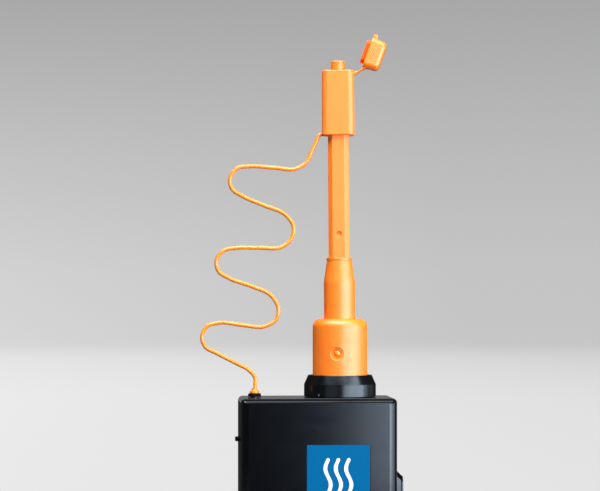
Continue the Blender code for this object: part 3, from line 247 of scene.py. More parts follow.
def turned(name, profile, closed=False, segments=ROUND, place=None, capped=True):
    """A profile of (radius, height) turned about Z."""
    shape = bmesh.new()
    rings = []
    for radius, height in profile:
        ring = []
        for step in range(segments):
            angle = math.tau * step / segments
            ring.append(Vector((radius * math.cos(angle), radius * math.sin(angle), height)))
        rings.append(ring)
    add_rings(shape, rings, closed, capped=False)
    if capped and not closed:
        for ring, at_start in ((rings[0], True), (rings[-1], False)):
            if ring[0].xy.length > 1e-7:
                shape.verts.ensure_lookup_table()
                first = 0 if at_start else (len(rings) - 1) * segments
                shape.faces.new(shape.verts[first:first + segments])
    return mesh_object(name, shape, place)


def bar(name, start, end, radius, segments=48):
    """A plain cylinder, used as a cutter."""
    length = (Vector(end) - Vector(start)).length
    return turned(name, [(radius, length), (radius, 0)], segments=segments,
                  place=axis_frame(Vector(start), Vector(end) - Vector(start)))


def cut(obj, *cutters):
    """Take the cutters out of a piece, in their order; settle() applies the cuts."""
    for cutter in cutters:
        modifier = obj.modifiers.new(cutter.name, "BOOLEAN")
        modifier.operation = "DIFFERENCE"
        modifier.solver = "EXACT"
        modifier.object = cutter


def settle(obj, edge=0.0, segments=2, angle=50):
    """Rounds the sharp edges, keeps flat faces flat, and turns the modifiers into mesh."""
    helpers = [modifier.object for modifier in obj.modifiers if modifier.type == "BOOLEAN"]
    if edge:
        bevel = obj.modifiers.new("edges", "BEVEL")
        bevel.width = edge
        bevel.segments = segments
        bevel.limit_method = "ANGLE"
        bevel.angle_limit = math.radians(angle)
    normals = obj.modifiers.new("normals", "WEIGHTED_NORMAL")
    normals.keep_sharp = True
    bpy.context.view_layer.update()
    seen = obj.evaluated_get(bpy.context.evaluated_depsgraph_get())
    mesh = bpy.data.meshes.new_from_object(seen)
    mesh.shade_smooth()
    obj.modifiers.clear()
    obj.data = mesh
    for helper in helpers:
        bpy.data.objects.remove(helper)
    return obj


# ---------------------------------------------------------------- materials

def coat(name, colour, roughness, metallic=0.0, other=None, share=0.5, patch=0.012, grain=0.00035,
         depth=0.00001, uneven=0.04, **inputs):
    """A moulded, printed or machined surface.

    Two close tones in soft patches, uneven gloss and a fine grain all come from noise in the piece's own
    space.
    """
    made = bpy.data.materials.new(name)
    made.use_nodes = True
    nodes = made.node_tree.nodes
    link = made.node_tree.links.new
    shader = nodes["Principled BSDF"]
    place = nodes.new("ShaderNodeTexCoord").outputs["Object"]

    def noise(size, detail):
        texture = nodes.new("ShaderNodeTexNoise")
        texture.inputs["Scale"].default_value = 1 / size
        texture.inputs["Detail"].default_value = detail
        link(place, texture.inputs["Vector"])
        return texture.outputs["Fac"]

    def ranged(value, low, high, low_out, high_out):
        fit = nodes.new("ShaderNodeMapRange")
        for socket, number in zip(("From Min", "From Max", "To Min", "To Max"),
                                  (low, high, low_out, high_out)):
            fit.inputs[socket].default_value = number
        link(value, fit.inputs["Value"])
        return fit.outputs["Result"]

    darker = tuple(0.86 * channel for channel in colour)
    tone = nodes.new("ShaderNodeMix")
    tone.data_type = "RGBA"
    link(ranged(noise(patch, 3), 0.35, 0.65, 0, share), tone.inputs["Factor"])
    tone.inputs["A"].default_value = (*colour, 1)
    tone.inputs["B"].default_value = (*(other or darker), 1)
    link(tone.outputs["Result"], shader.inputs["Base Color"])
    gloss = ranged(noise(patch / 2, 4), 0.3, 0.7, roughness - uneven, roughness + uneven)
    link(gloss, shader.inputs["Roughness"])
    bump = nodes.new("ShaderNodeBump")
    bump.inputs["Distance"].default_value = depth
    link(noise(grain, 2), bump.inputs["Height"])
    link(bump.outputs["Normal"], shader.inputs["Normal"])
    shader.inputs["Metallic"].default_value = metallic
    for socket, value in inputs.items():
        shader.inputs[socket.replace("_", " ")].default_value = value
    return made


SHEEN_TINT = (0.70, 0.83, 1.0, 1)
ORANGE = (0.95, 0.207, 0.0030)
ORANGE_DARK = (0.94, 0.198, 0.0026)
# Light that goes a little way into the orange plastic and comes out redder.
GLOW = {"Subsurface_Weight": 0.35, "Subsurface_Radius": (1.0, 0.25, 0.04), "Subsurface_Scale": 0.0022}
LOOKS = {
    "black_plastic": coat("black_plastic", (0.0010, 0.0010, 0.0014), 0.14, other=(0.0015, 0.0014, 0.0019),
                          depth=0.0000010, uneven=0.012, Specular_Tint=SHEEN_TINT),
    "collar_plastic": coat("collar_plastic", (0.0018, 0.0018, 0.0022), 0.23, other=(0.0024, 0.0024, 0.0029),
                           depth=0.000002, uneven=0.02, Specular_Tint=SHEEN_TINT),
    "orange_plastic": coat("orange_plastic", ORANGE, 0.42, other=ORANGE_DARK, depth=0.000002,
                           uneven=0.03, Specular_IOR_Level=0.95, **GLOW),
    "orange_matt": coat("orange_matt", ORANGE, 0.50, other=ORANGE_DARK, depth=0.000002,
                        uneven=0.03, Specular_IOR_Level=1.0, **GLOW),
    "orange_button": coat("orange_button", ORANGE, 0.13, other=ORANGE_DARK, depth=0.0000005,
                          uneven=0.02, Specular_IOR_Level=1.0, **GLOW),
    # A darker, deeper orange with little gloss for the cap's skirt and cavity: painted shade where the cap's
    # rim shades them, not a colour of the plastic.
    "orange_plug_shade": coat("orange_plug_shade", (0.88, 0.115, 0.002), 0.5, other=(0.84, 0.105, 0.002),
                        depth=0.000002, Specular_IOR_Level=0.25),
    "orange_tube": coat("orange_tube", (0.95, 0.235, 0.0040), 0.30, other=(0.94, 0.225, 0.0035),
                        depth=0.0000003, uneven=0.02, Specular_IOR_Level=0.95),
    "orange_thin": coat("orange_thin", ORANGE, 0.36, other=ORANGE_DARK, depth=0.0000005,
                        uneven=0.03, Specular_IOR_Level=0.95),
    "seal_rubber": coat("seal_rubber", (0.0022, 0.0022, 0.0025), 0.8, Specular_IOR_Level=0.1),
    "black_rubber": coat("black_rubber", (0.008, 0.008, 0.009), 0.62, depth=0.00002),
    "blue_label": coat("blue_label", (0.0002, 0.094, 0.240), 0.45, other=(0.0002, 0.088, 0.229),
                       depth=0.000002, uneven=0.03, Specular_IOR_Level=0.03),
    "clear_window": coat("clear_window", (0.86, 0.92, 0.92), 0.03, depth=0.0000001, uneven=0.01,
                         Transmission_Weight=1.0, IOR=1.49),
    "red_lens": coat("red_lens", (0.62, 0.01, 0.01), 0.12, uneven=0.02, Transmission_Weight=0.35),
    "grey_key": coat("grey_key", (0.20, 0.21, 0.23), 0.55, depth=0.000012),
    "red_key": coat("red_key", (0.42, 0.018, 0.012), 0.52, depth=0.000012),
    "steel": coat("steel", (0.56, 0.56, 0.58), 0.30, 1.0, patch=0.004, depth=0.000006, uneven=0.07),
    "brass": coat("brass", (0.72, 0.50, 0.22), 0.28, 1.0, patch=0.004, uneven=0.06),
    "green_board": coat("green_board", (0.01, 0.12, 0.045), 0.42, patch=0.006),
    "white_plastic": coat("white_plastic", (0.72, 0.72, 0.69), 0.5),
    "battery_wrap": coat("battery_wrap", (0.03, 0.07, 0.17), 0.36),
    "white_print": coat("white_print", (0.80, 0.81, 0.82), 0.4),
    "grey_print": coat("grey_print", (0.16, 0.165, 0.18), 0.4),
    "lcd_grey": coat("lcd_grey", (0.22, 0.27, 0.22), 0.28, patch=0.02),
    "lcd_dark": coat("lcd_dark", (0.012, 0.016, 0.014), 0.3),
}


def wear_look(obj, look):
    """Gives a piece its material."""
    obj.data.materials.clear()
    obj.data.materials.append(LOOKS[look])


def place_piece(obj, body, look, *nodes, slot=None):
    """A finished piece: its look, the CAD nodes that it stands for, and the body that it rides on."""
    wear_look(obj, look)
    if nodes:
        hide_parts(*nodes)
    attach(obj, body)
    return obj


# ---------------------------------------------------------------- camera and sample line

CAMERA_DISTANCE = 1.555
CAMERA_AZIMUTH = math.radians(-4)
EYE_LEVEL = TOP + 0.066
LENS = 144
SHIFT = (-0.0273, 0.0825)


def make_camera():
    """Level, in front of the casing and a little to its left."""
    data = bpy.data.cameras.new("camera")
    data.lens = LENS
    data.shift_x, data.shift_y = SHIFT
    data.clip_end = 5 * FLOOR_RADIUS
    camera = bpy.data.objects.new("camera", data)
    bpy.context.scene.collection.objects.link(camera)
    camera.location = (
        CAMERA_DISTANCE * math.sin(CAMERA_AZIMUTH),
        -CAMERA_DISTANCE * math.cos(CAMERA_AZIMUTH),
        EYE_LEVEL,
    )
    camera.rotation_euler = (math.radians(90), 0, CAMERA_AZIMUTH)
    bpy.context.scene.camera = camera


LINE_RADIUS = 0.0013
LINE_STEP = 0.0016
LINE_INTO_HEAD = 0.0015
LINE_ROUTE = (
    (-0.0401, 0.1948), (-0.0396, 0.1984), (-0.0396, 0.2020), (-0.0442, 0.2078),
    (-0.0510, 0.2114), (-0.0646, 0.2184), (-0.0718, 0.2224), (-0.0741, 0.2290),
    (-0.0706, 0.2358), (-0.0633, 0.2380), (-0.0479, 0.2365), (-0.0332, 0.2358),
    (-0.0260, 0.2402), (-0.0248, 0.2481), (-0.0286, 0.2549), (-0.0419, 0.2616),
    (-0.0565, 0.2668), (-0.0633, 0.2713), (-0.0647, 0.2786), (-0.0598, 0.2848),
    (-0.0520, 0.2864), (-0.0366, 0.2865), (-0.0222, 0.2872), (-0.0157, 0.2932),
    (-0.0150, 0.3011), (-0.0195, 0.3075), (-0.0337, 0.3139), (-0.0479, 0.3200),
    (-0.0546, 0.3246), (-0.0558, 0.3320), (-0.0506, 0.3382), (-0.0428, 0.3392),
    (-0.0273, 0.3384), (-0.0126, 0.3380), (-0.0060, 0.3424), (-0.0029, 0.3493),
    (0.0000, 0.3554), (0.0012, 0.3586), (0.0021, 0.3598), (0.0030, 0.3601),
)


def smooth_route(points, step):
    """Even steps along a smooth curve that passes through every point."""
    points = [Vector(point) for point in points]
    lengths = [(b - a).length for a, b in zip(points, points[1:])]
    slopes = [(b - a) / length for a, b, length in zip(points, points[1:], lengths)]
    tangents = [slopes[0]]
    for i in range(1, len(points) - 1):
        blend = slopes[i - 1] * lengths[i] + slopes[i] * lengths[i - 1]
        tangents.append(blend / (lengths[i - 1] + lengths[i]))
    tangents.append(slopes[-1])
    fine = 24
    dense = []
    for i, length in enumerate(lengths):
        for part in range(fine):
            t = part / fine
            dense.append(
                points[i] * (2 * t**3 - 3 * t**2 + 1)
                + tangents[i] * length * (t**3 - 2 * t**2 + t)
                + points[i + 1] * (3 * t**2 - 2 * t**3)
                + tangents[i + 1] * length * (t**3 - t**2)
            )
    dense.append(points[-1])
    total = sum((b - a).length for a, b in zip(dense, dense[1:]))
    count = round(total / step)
    even = [dense[0]]
    walked = 0.0
    for a, b in zip(dense, dense[1:]):
        piece = (b - a).length
        while len(even) < count and walked + piece >= total * len(even) / count:
            even.append(a.lerp(b, (total * len(even) / count - walked) / piece))
        walked += piece
    even.append(dense[-1])
    return even


def round_tube(name, radius, sides):
    """Node group that turns a mesh of edges into a closed round tube."""
    tree = bpy.data.node_groups.new(name, "GeometryNodeTree")
    tree.interface.new_socket("Geometry", in_out="INPUT", socket_type="NodeSocketGeometry")
    tree.interface.new_socket("Geometry", in_out="OUTPUT", socket_type="NodeSocketGeometry")
    start = tree.nodes.new("NodeGroupInput")
    to_curve = tree.nodes.new("GeometryNodeMeshToCurve")
    circle = tree.nodes.new("GeometryNodeCurvePrimitiveCircle")
    circle.inputs["Radius"].default_value = radius
    circle.inputs["Resolution"].default_value = sides
    to_mesh = tree.nodes.new("GeometryNodeCurveToMesh")
    to_mesh.inputs["Fill Caps"].default_value = True
    smooth = tree.nodes.new("GeometryNodeSetShadeSmooth")
    paint = tree.nodes.new("GeometryNodeSetMaterial")
    paint.inputs["Material"].default_value = LOOKS["orange_tube"]
    end = tree.nodes.new("NodeGroupOutput")
    link = tree.links.new
    link(start.outputs["Geometry"], to_curve.inputs["Mesh"])
    link(to_curve.outputs["Curve"], to_mesh.inputs["Curve"])
    link(circle.outputs["Curve"], to_mesh.inputs["Profile Curve"])
    link(to_mesh.outputs["Mesh"], smooth.inputs["Geometry"])
    link(smooth.outputs["Geometry"], paint.inputs["Geometry"])
    link(paint.outputs["Geometry"], end.inputs["Geometry"])
    return tree


def make_sample_line():
    """The preformed zig-zag tube: the mesh is its middle line, with a tube made round it."""
    low, high = LINE_ROUTE[0][1], LINE_ROUTE[-1][1]
    end_y = -math.sin(WAND_TURN) * (GAP - local_box("head_block", WAND)[0].x)
    route = [Vector((x, end_y * (z - low) / (high - low), z)) for x, z in LINE_ROUTE]
    route.append(route[-1] + Vector((LINE_INTO_HEAD, 0, 0)))
    points = smooth_route(route, LINE_STEP)
    mesh = bpy.data.meshes.new("zigzag_line")
    mesh.from_pydata(points, [(i, i + 1) for i in range(len(points) - 1)], [])
    line = bpy.data.objects.new("zigzag_line", mesh)
    bpy.context.scene.collection.objects.link(line)
    tube = line.modifiers.new("tube", "NODES")
    tube.node_group = round_tube("round_tube", LINE_RADIUS, 20)
    place_piece(line, "casing", "orange_tube", "sample_line", slot="orange_plastic")
    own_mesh(line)


# ---------------------------------------------------------------- casing

def case_ring(inset, y):
    """The casing's outline, brought in by inset, at a depth."""
    corner = max(CASE_CORNER - inset, 0.0004)
    return rounded(CASE_WIDTH - 2 * inset, TOP - 2 * inset, corner, (0, TOP / 2)), y


def case_back_holes(inner_back):
    """Cutters for everything that passes through the rear half's walls."""
    top = TOP + PAST
    line_x = LINE_ROUTE[0][0]
    button = middle_of("side_button")
    door, door_width, door_height = front_view("battery_door")
    rebate = rounded(door_width + 2 * GAP, door_height + 2 * GAP, DOOR_CORNER + GAP, door)
    mouth = rounded(0.057, 0.064, 0.002, door)
    rebate_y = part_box("battery_door")[0].y - GAP
    cutters = [
        bar("sleeve_hole", (WAND_X, 0, TOP - CASE_HOLE_DEPTH), (WAND_X, 0, top), 0.015, 96),
        bar("line_hole", (line_x, 0, TOP - CASE_HOLE_DEPTH), (line_x, 0, top), 0.0028),
        bar("side_hole", (CASE_LOW.x - PAST, button.y, button.z),
            (CASE_LOW.x + 2 * WALL, button.y, button.z), 0.0019),
        stack("rebate", "XZ", [(rebate, rebate_y), (rebate, BACK_Y + PAST)]),
        stack("mouth", "XZ", [(mouth, inner_back - PAST), (mouth, BACK_Y)]),
    ]
    screws = [(name, 0.0031) for name in CASE_SCREWS] + [(name, DOOR_SCREW_HOLE) for name in DOOR_SCREWS]
    for name, radius in screws:
        at = middle_of(name)
        cutters.append(bar(name + "_hole", (at.x, inner_back - PAST, at.z),
                           (at.x, BACK_Y + PAST, at.z), radius))
    return cutters


def make_case_back():
    """The deep rear half, skinned from its inner back over the rim to its outer back."""
    inner_back = BACK_Y - WALL
    rim_round = 0.0004
    rim = arc((rim_round, RIM_Y + rim_round), rim_round, 270, 180, 4)
    back = arc((BACK_ROUND, BACK_Y - BACK_ROUND), BACK_ROUND, 180, 90, 8)
    profile = [(WALL, inner_back), (WALL, RIM_Y + 0.0002), (WALL - 0.0002, RIM_Y), *rim, *back]
    shell = stack("case_back", "XZ", [case_ring(inset, y) for inset, y in profile])
    cut(shell, *case_back_holes(inner_back))
    settle(shell, 0.00025)
    place_piece(shell, "casing", "black_plastic", "rear_shell")


def case_front_holes(through):
    """Cutters for the cover's openings; the round ones and the slots reach through to a depth."""
    cutters = []

    def opening(name, node, corner, depth, margin):
        middle, width, height = front_view(node)
        outline = rounded(width + 2 * margin, height + 2 * margin, corner, middle)
        cutters.append(stack(name, "XZ", [(outline, FACE_Y - PAST), (outline, FACE_Y + depth)]))

    opening("label_recess", "label_plate", 0.0006, 0.001, 0.0004)
    opening("window_rebate", "display_window", WINDOW_CORNER + GAP, 0.0015, GAP)
    opening("window_sight", "display_window", 0.0015, 2 * WALL, -0.0027)
    for node in ("alarm_lens", "menu_key", "power_key", "zero_key"):
        at = middle_of(node)
        radius = front_view(node)[1] / 2 - FLANGE + GAP
        cutters.append(bar(node + "_hole", (at.x, FACE_Y - PAST, at.z), (at.x, through, at.z), radius, 72))
    for number in range(3):
        outline = rounded(0.016, 0.0014, 0.00068, (0, 0.017 + 0.003 * number))
        cutters.append(stack(f"sound_slot_{number}", "XZ", [(outline, FACE_Y - PAST), (outline, through)]))
    return cutters


def make_case_front():
    """The cover: a bevelled face with its label, window, lens, key and sounder openings."""
    inner_y = FACE_Y + WALL
    lip_y = RIM_Y + 0.0035
    lip_outside = WALL + GAP
    lip_inside = lip_outside + 0.0018
    profile = [
        (lip_inside, inner_y), (lip_inside, lip_y), (lip_outside, lip_y), (lip_outside, COVER_BACK_Y),
        (COVER_INSET + 0.0002, COVER_BACK_Y), (COVER_INSET, COVER_BACK_Y - 0.0002),
    ]
    rings = [case_ring(inset, y) for inset, y in profile]
    wide = CASE_WIDTH - 2 * COVER_INSET
    high = TOP - 2 * COVER_INSET
    middle = (0, TOP / 2)
    shoulder = 2 * COVER_SHOULDER
    rings.append((rounded(wide - shoulder, high - shoulder, 0.0015, middle), FACE_Y + COVER_DROP))
    rings.append((rounded(wide - 2 * SIDE_CHAMFER, high - 2 * END_CHAMFER, 0.0004, middle), FACE_Y))
    cover = stack("case_front", "XZ", rings)
    cut(cover, *case_front_holes(inner_y + PAST))
    settle(cover, 0.00013, angle=25)
    place_piece(cover, "casing", "black_plastic", "front_shell")


def make_seal():
    """The seal between the casing's two halves, set in a little from their sides."""
    inset = 0.0004
    low, high = COVER_BACK_Y + GAP / 2, RIM_Y - GAP / 2
    rings = [(inset, low), (inset, high), (WALL, high), (WALL, low)]
    seal = stack("case_seal", "XZ", [case_ring(*ring) for ring in rings], closed=True)
    place_piece(settle(seal), "casing", "seal_rubber", "shell_gasket", slot="black_rubber")


def make_label():
    """A plain blue plate with three rising vapour strokes."""
    low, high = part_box("label_plate")
    middle, width, height = front_view("label_plate")
    edge = 0.00012
    plate = stack("label", "XZ", [
        (rounded(width, height, 0.0004, middle), high.y),
        (rounded(width, height, 0.0004, middle), low.y + edge),
        (rounded(width - 2 * edge, height - 2 * edge, 0.0003, middle), low.y),
    ])
    place_piece(settle(plate), "casing", "blue_label", "label_plate")
    stroke, tall, sway, spacing = 0.0024, 0.0210, 0.0017, 0.0066
    for number in (-1, 0, 1):
        outline = []
        steps = 40
        for step in range(steps + 1):
            along = step / steps
            u = middle[0] + number * spacing + sway * math.sin(math.tau * along)
            outline.append((u, middle[1] + tall * (along - 0.5)))
        right = [(u + stroke / 2, v) for u, v in outline]
        left = [(u - stroke / 2, v) for u, v in reversed(outline)]
        top = arc(outline[-1], stroke / 2, 15, 165)
        bottom = arc(outline[0], stroke / 2, 195, 345)
        loop = right + top + left + bottom
        print_y = low.y - 0.00004
        piece = stack(f"vapour_stroke_{number + 2}", "XZ", [(loop, print_y), (loop, low.y + 0.0001)])
        place_piece(settle(piece), "casing", "white_print", slot="white_plastic")


# ---------------------------------------------------------------- front controls

def make_display():
    """The window with its printed border, and the screen behind it."""
    low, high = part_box("display_window")
    middle, width, height = front_view("display_window")
    edge, print_proud, print_sunk = 0.0002, 0.00004, 0.00002
    whole = rounded(width, height, WINDOW_CORNER, middle)
    pane = stack("window_pane", "XZ", [
        (whole, high.y),
        (whole, low.y + edge),
        (rounded(width - 2 * edge, height - 2 * edge, WINDOW_CORNER - edge, middle), low.y),
    ])
    place_piece(settle(pane), "casing", "clear_window", "display_window")
    sight = rounded(width - 2 * WINDOW_BORDER, height - 2 * WINDOW_BORDER, 0.0010, middle)
    front, back = low.y - print_proud, low.y + print_sunk
    border = stack("window_border", "XZ", [(whole, front), (whole, back), (sight, back), (sight, front)],
                   closed=True)
    place_piece(settle(border), "casing", "black_plastic")
    module_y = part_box("lcd_module")[0].y
    screen_y = module_y - 0.00025
    outline = rounded(width - 0.0068, height - 0.0068, 0.0008, middle)
    glass = stack("lcd_glass", "XZ", [(outline, screen_y), (outline, module_y + 0.0002)])
    place_piece(settle(glass), "casing", "lcd_grey", slot="white_plastic")
    make_reading(middle[1], screen_y)


def make_reading(middle_z, screen_y):
    """Two noughts with a point between them, a row of bars and a battery sign."""
    digit_high, digit_wide, stroke = 0.0135, 0.0072, 0.0016
    digit_z = middle_z + 0.002
    for number, x in enumerate((-0.0125, -0.0015)):
        make_zero(f"digit_{number + 1}", x, digit_z, digit_wide, digit_high, stroke, screen_y)
    point_z = digit_z - digit_high / 2 + stroke / 2
    make_mark("digit_point", (-0.0070, point_z), stroke, stroke, screen_y)
    for number in range(12):
        x = -0.0225 + number * 0.0041
        make_mark(f"scale_bar_{number + 1}", (x, middle_z - 0.0105), 0.0032, 0.0024, screen_y)
    battery_z = middle_z + 0.0095
    make_mark("battery_level", (0.0195, battery_z), 0.0070, 0.0030, screen_y)
    make_mark("battery_tip", (0.0235, battery_z), 0.0008, 0.0016, screen_y)


def make_mark(name, middle, width, height, screen_y):
    """One dark segment of the reading, on the screen's surface."""
    outline = rounded(width, height, 0.0002, middle)
    mark = stack(name, "XZ", [(outline, screen_y - 0.00005), (outline, screen_y + 0.0001)])
    place_piece(settle(mark), "casing", "lcd_dark", slot="black_plastic")


def make_zero(name, x, z, width, height, stroke, screen_y):
    """A seven-segment nought: six straight segments round an open middle."""
    gap = 0.0003
    half = height / 2
    for side, u in (("left", x - width / 2), ("right", x + width / 2)):
        for level, v in (("low", z - half / 2), ("high", z + half / 2)):
            make_mark(f"{name}_{side}_{level}", (u, v), stroke, half - 2 * gap, screen_y)
    for level, v in (("bottom", z - half), ("top", z + half)):
        make_mark(f"{name}_{level}", (x, v), width - stroke - 2 * gap, stroke, screen_y)


def make_keys():
    """Three round rubber keys, dished, each with a raised generic sign."""
    for name, look in (("menu_key", "grey_key"), ("power_key", "red_key"), ("zero_key", "grey_key")):
        low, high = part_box(name)
        middle = (low + high) / 2
        flange = (high.x - low.x) / 2
        radius = flange - FLANGE
        place = axis_frame((middle.x, FACE_Y, middle.z), (0, -1, 0))
        proud = FACE_Y - low.y
        deep = FACE_Y - high.y
        rim_round = 0.0011
        floor = proud - 0.0005
        dish = [(radius * share, floor + 0.0004 * share**2) for share in (0, 0.2, 0.4, 0.6, 0.75)]
        rim = arc((radius - rim_round, proud - rim_round), rim_round, 90, 0)
        flange_top = deep + 0.0009
        profile = [*dish, *rim, (radius, flange_top), (flange, flange_top), (flange, deep), (0, deep)]
        key = turned(name + "_cap", profile, place=place)
        place_piece(settle(key), name, look, name)
        for sign in key_signs(name, place, floor):
            place_piece(settle(sign), name, "white_print", slot="white_plastic")


def key_signs(name, place, floor):
    """The sign on a key: three bars, a switch sign or a nought."""
    levels = (floor - 0.0001, floor + 0.00018)

    def sign(part, outline):
        return stack(part, "XY", [(outline, level) for level in levels], place=place)

    stroke = 0.0007
    if name == "menu_key":
        bars = [rounded(0.0048, stroke, 0.0002, (0, row * 0.0015)) for row in (-1, 0, 1)]
        return [sign(f"menu_bar_{number}", outline) for number, outline in enumerate(bars, 1)]
    if name == "power_key":
        upright = rounded(stroke, 0.0026, 0.0002, (0, 0.0018))
        return [sign("power_ring", ring_part(0.0024, stroke, 125, 415)), sign("power_stroke", upright)]
    return [sign("zero_ring", ring_part(0.0022, stroke, 0, 359.9))]


def ring_part(radius, stroke, start, end):
    """The outline of a part of a flat ring."""
    outside = arc((0, 0), radius + stroke / 2, start, end, 48)
    inside = arc((0, 0), radius - stroke / 2, end, start, 48)
    return outside + inside


def make_lens():
    """The alarm light's red dome."""
    low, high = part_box("alarm_lens")
    middle = (low + high) / 2
    place = axis_frame((middle.x, high.y, middle.z), (0, -1, 0))
    deep = high.y - low.y
    flange = (high.x - low.x) / 2
    radius = flange - FLANGE
    dome_round = 0.0032
    dome = arc((0, deep - dome_round), dome_round, 90, 40)
    profile = [*dome, (radius, deep - 0.0009), (radius, FLANGE), (flange, FLANGE), (flange, 0), (0, 0)]
    place_piece(settle(turned("lens_dome", profile, place=place)), "casing", "red_lens", "alarm_lens")


# ---------------------------------------------------------------- back and flanks

def make_door():
    """The battery door with its screw holes and five grip grooves."""
    low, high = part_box("battery_door")
    middle, width, height = front_view("battery_door")
    edge = 0.0004
    door = stack("back_door", "XZ", [
        (rounded(width, height, DOOR_CORNER, middle), low.y),
        (rounded(width, height, DOOR_CORNER, middle), high.y - edge),
        (rounded(width - edge / 2, height - edge / 2, DOOR_CORNER - edge / 4, middle), high.y - edge / 3),
        (rounded(width - 2 * edge, height - 2 * edge, 0.0024, middle), high.y),
    ])
    cutters = []
    for name in DOOR_SCREWS:
        z = middle_of(name).z
        cutters.append(bar(name + "_hole", (0, low.y - PAST, z), (0, high.y + PAST, z), DOOR_SCREW_HOLE))
    for number in range(5):
        groove = rounded(0.024, 0.0012, 0.0005, (0, middle[1] + 0.018 + number * 0.0028))
        cutters.append(stack(f"grip_{number}", "XZ", [(groove, high.y - 0.0006), (groove, high.y + PAST)]))
    cut(door, *cutters)
    place_piece(settle(door, 0.00018), "casing", "black_plastic", "battery_door")


def make_screws():
    """Pan heads with a cross recess, all of one shape."""
    head_radius, head_high, shank, length = 0.00275, 0.0016, 0.0015, 0.012
    crown_round, tip, half_slot, half_width, slot_depth = 0.0011, 0.0005, 0.0015, 0.00027, 0.0009
    crown = arc((head_radius - crown_round, head_high - crown_round), crown_round, 90, 0)
    profile = [(0, head_high), *crown, (head_radius, 0), (shank, 0), (shank, 2 * tip - length),
               (shank - tip, -length), (0, -length)]
    shape = turned("screw_shape", profile, segments=64)
    floor, over = head_high - slot_depth, head_high + PAST
    slots = []
    for number, (u, v) in enumerate(((half_slot, half_width), (half_width, half_slot))):
        outline = [(u, v), (-u, v), (-u, -v), (u, -v)]
        slots.append(stack(f"slot_{number}", "XY", [(outline, floor), (outline, over)]))
    cut(shape, *slots)
    mesh = settle(shape, 0.0001).data
    bpy.data.objects.remove(shape)
    for name in CASE_SCREWS + DOOR_SCREWS:
        low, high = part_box(name)
        middle = (low + high) / 2
        screw = bpy.data.objects.new(name + "_fine", mesh.copy())
        bpy.context.scene.collection.objects.link(screw)
        screw.data.transform(axis_frame((middle.x, high.y - head_high, middle.z), (0, 1, 0)))
        place_piece(screw, "casing", "steel", name)


def make_side_button():
    """The small push button on the left flank, with its flange inside the wall."""
    low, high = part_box("side_button")
    middle = (low + high) / 2
    place = axis_frame((CASE_LOW.x, middle.y, middle.z), (-1, 0, 0))
    proud = CASE_LOW.x - low.x
    deep = CASE_LOW.x - high.x
    radius, flange, tip_round = 0.0016, 0.0027, 0.0007
    tip = arc((radius - tip_round, proud - tip_round), tip_round, 90, 0)
    flange_top = deep + FLANGE
    profile = [(0, proud), *tip, (radius, flange_top), (flange, flange_top), (flange, deep), (0, deep)]
    button = turned("side_key", profile, segments=64, place=place)
    place_piece(settle(button), "side_button", "seal_rubber", "side_button", slot="black_rubber")


# How far the sides and the ends of the pod's top, and of its lid's top, are drawn in.
POD_DRAW_IN = (0.0020, 0.0030)
LID_DRAW_IN = (0.0029, 0.0041)


def pod_side(draw_in=(0, 0)):
    """The pod's side view, with sloping ends, drawn in at the front and back and at the ends."""
    low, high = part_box("side_pod")
    slope = 0.0036
    corners = [
        (low.y, low.z + slope), (low.y + slope, low.z),
        (high.y - slope, low.z), (high.y, low.z + slope),
        (high.y, high.z - slope), (high.y - slope, high.z),
        (low.y + slope, high.z), (low.y, high.z - slope),
    ]
    middle = (low + high) / 2
    share_y = 1 - 2 * draw_in[0] / (high.y - low.y)
    share_z = 1 - 2 * draw_in[1] / (high.z - low.z)
    return [(middle.y + (y - middle.y) * share_y, middle.z + (z - middle.z) * share_z) for y, z in corners]


def make_pod():
    """The raised block on the right flank: a body with sloping sides and a thin lid."""
    low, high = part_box("side_pod")
    top = pod_side(POD_DRAW_IN)
    body = stack("pod_body", "YZ", [(pod_side(), low.x), (top, high.x)])
    place_piece(settle(body, 0.00025, angle=20), "casing", "black_plastic", "side_pod")
    low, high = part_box("pod_cover")
    foot = pod_side([size + GAP for size in POD_DRAW_IN])
    lid = stack("pod_lid", "YZ", [(foot, low.x), (pod_side(LID_DRAW_IN), high.x)])
    place_piece(settle(lid, 0.0002, angle=20), "casing", "black_plastic", "pod_cover")


def make_line_entry():
    """The rubber grommet and the orange flared foot where the sample line leaves the casing."""
    low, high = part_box("line_grommet")
    x = (low.x + high.x) / 2
    radius = (high.x - low.x) / 2
    place = Matrix.Translation((x, 0, low.z))
    tall = high.z - low.z
    bore, shoulder_round = 0.0026, 0.0009
    shoulder = arc((radius - shoulder_round, tall - shoulder_round), shoulder_round, 90, 0)
    profile = [(bore, tall), *shoulder, (radius, 0), (bore, 0)]
    grommet = turned("entry_grommet", profile, closed=True, segments=72, place=place)
    place_piece(settle(grommet), "casing", "seal_rubber", "line_grommet", slot="black_rubber")
    foot_top, foot_radius, foot_base, stem_radius, stem_end = 0.0054, 0.0031, 0.0024, 0.0023, -0.006
    foot_bore = 0.001
    flare = arc((foot_radius, 0.0049), 0.0013, 180, 250, 6)
    profile = [(0.0016, foot_top), *flare, (foot_radius, 0.0036), (foot_radius + 0.0001, 0.0033),
               (foot_radius, foot_base), (stem_radius, foot_base), (stem_radius, stem_end),
               (foot_bore, stem_end), (foot_bore, foot_top)]
    foot = turned("line_foot", profile, closed=True, segments=72, place=place)
    place_piece(settle(foot), "casing", "orange_thin", "line_ferrule", slot="orange_plastic")


# ---------------------------------------------------------------- wand base

INDEX_AZIMUTH = math.radians(-36) + CAMERA_AZIMUTH


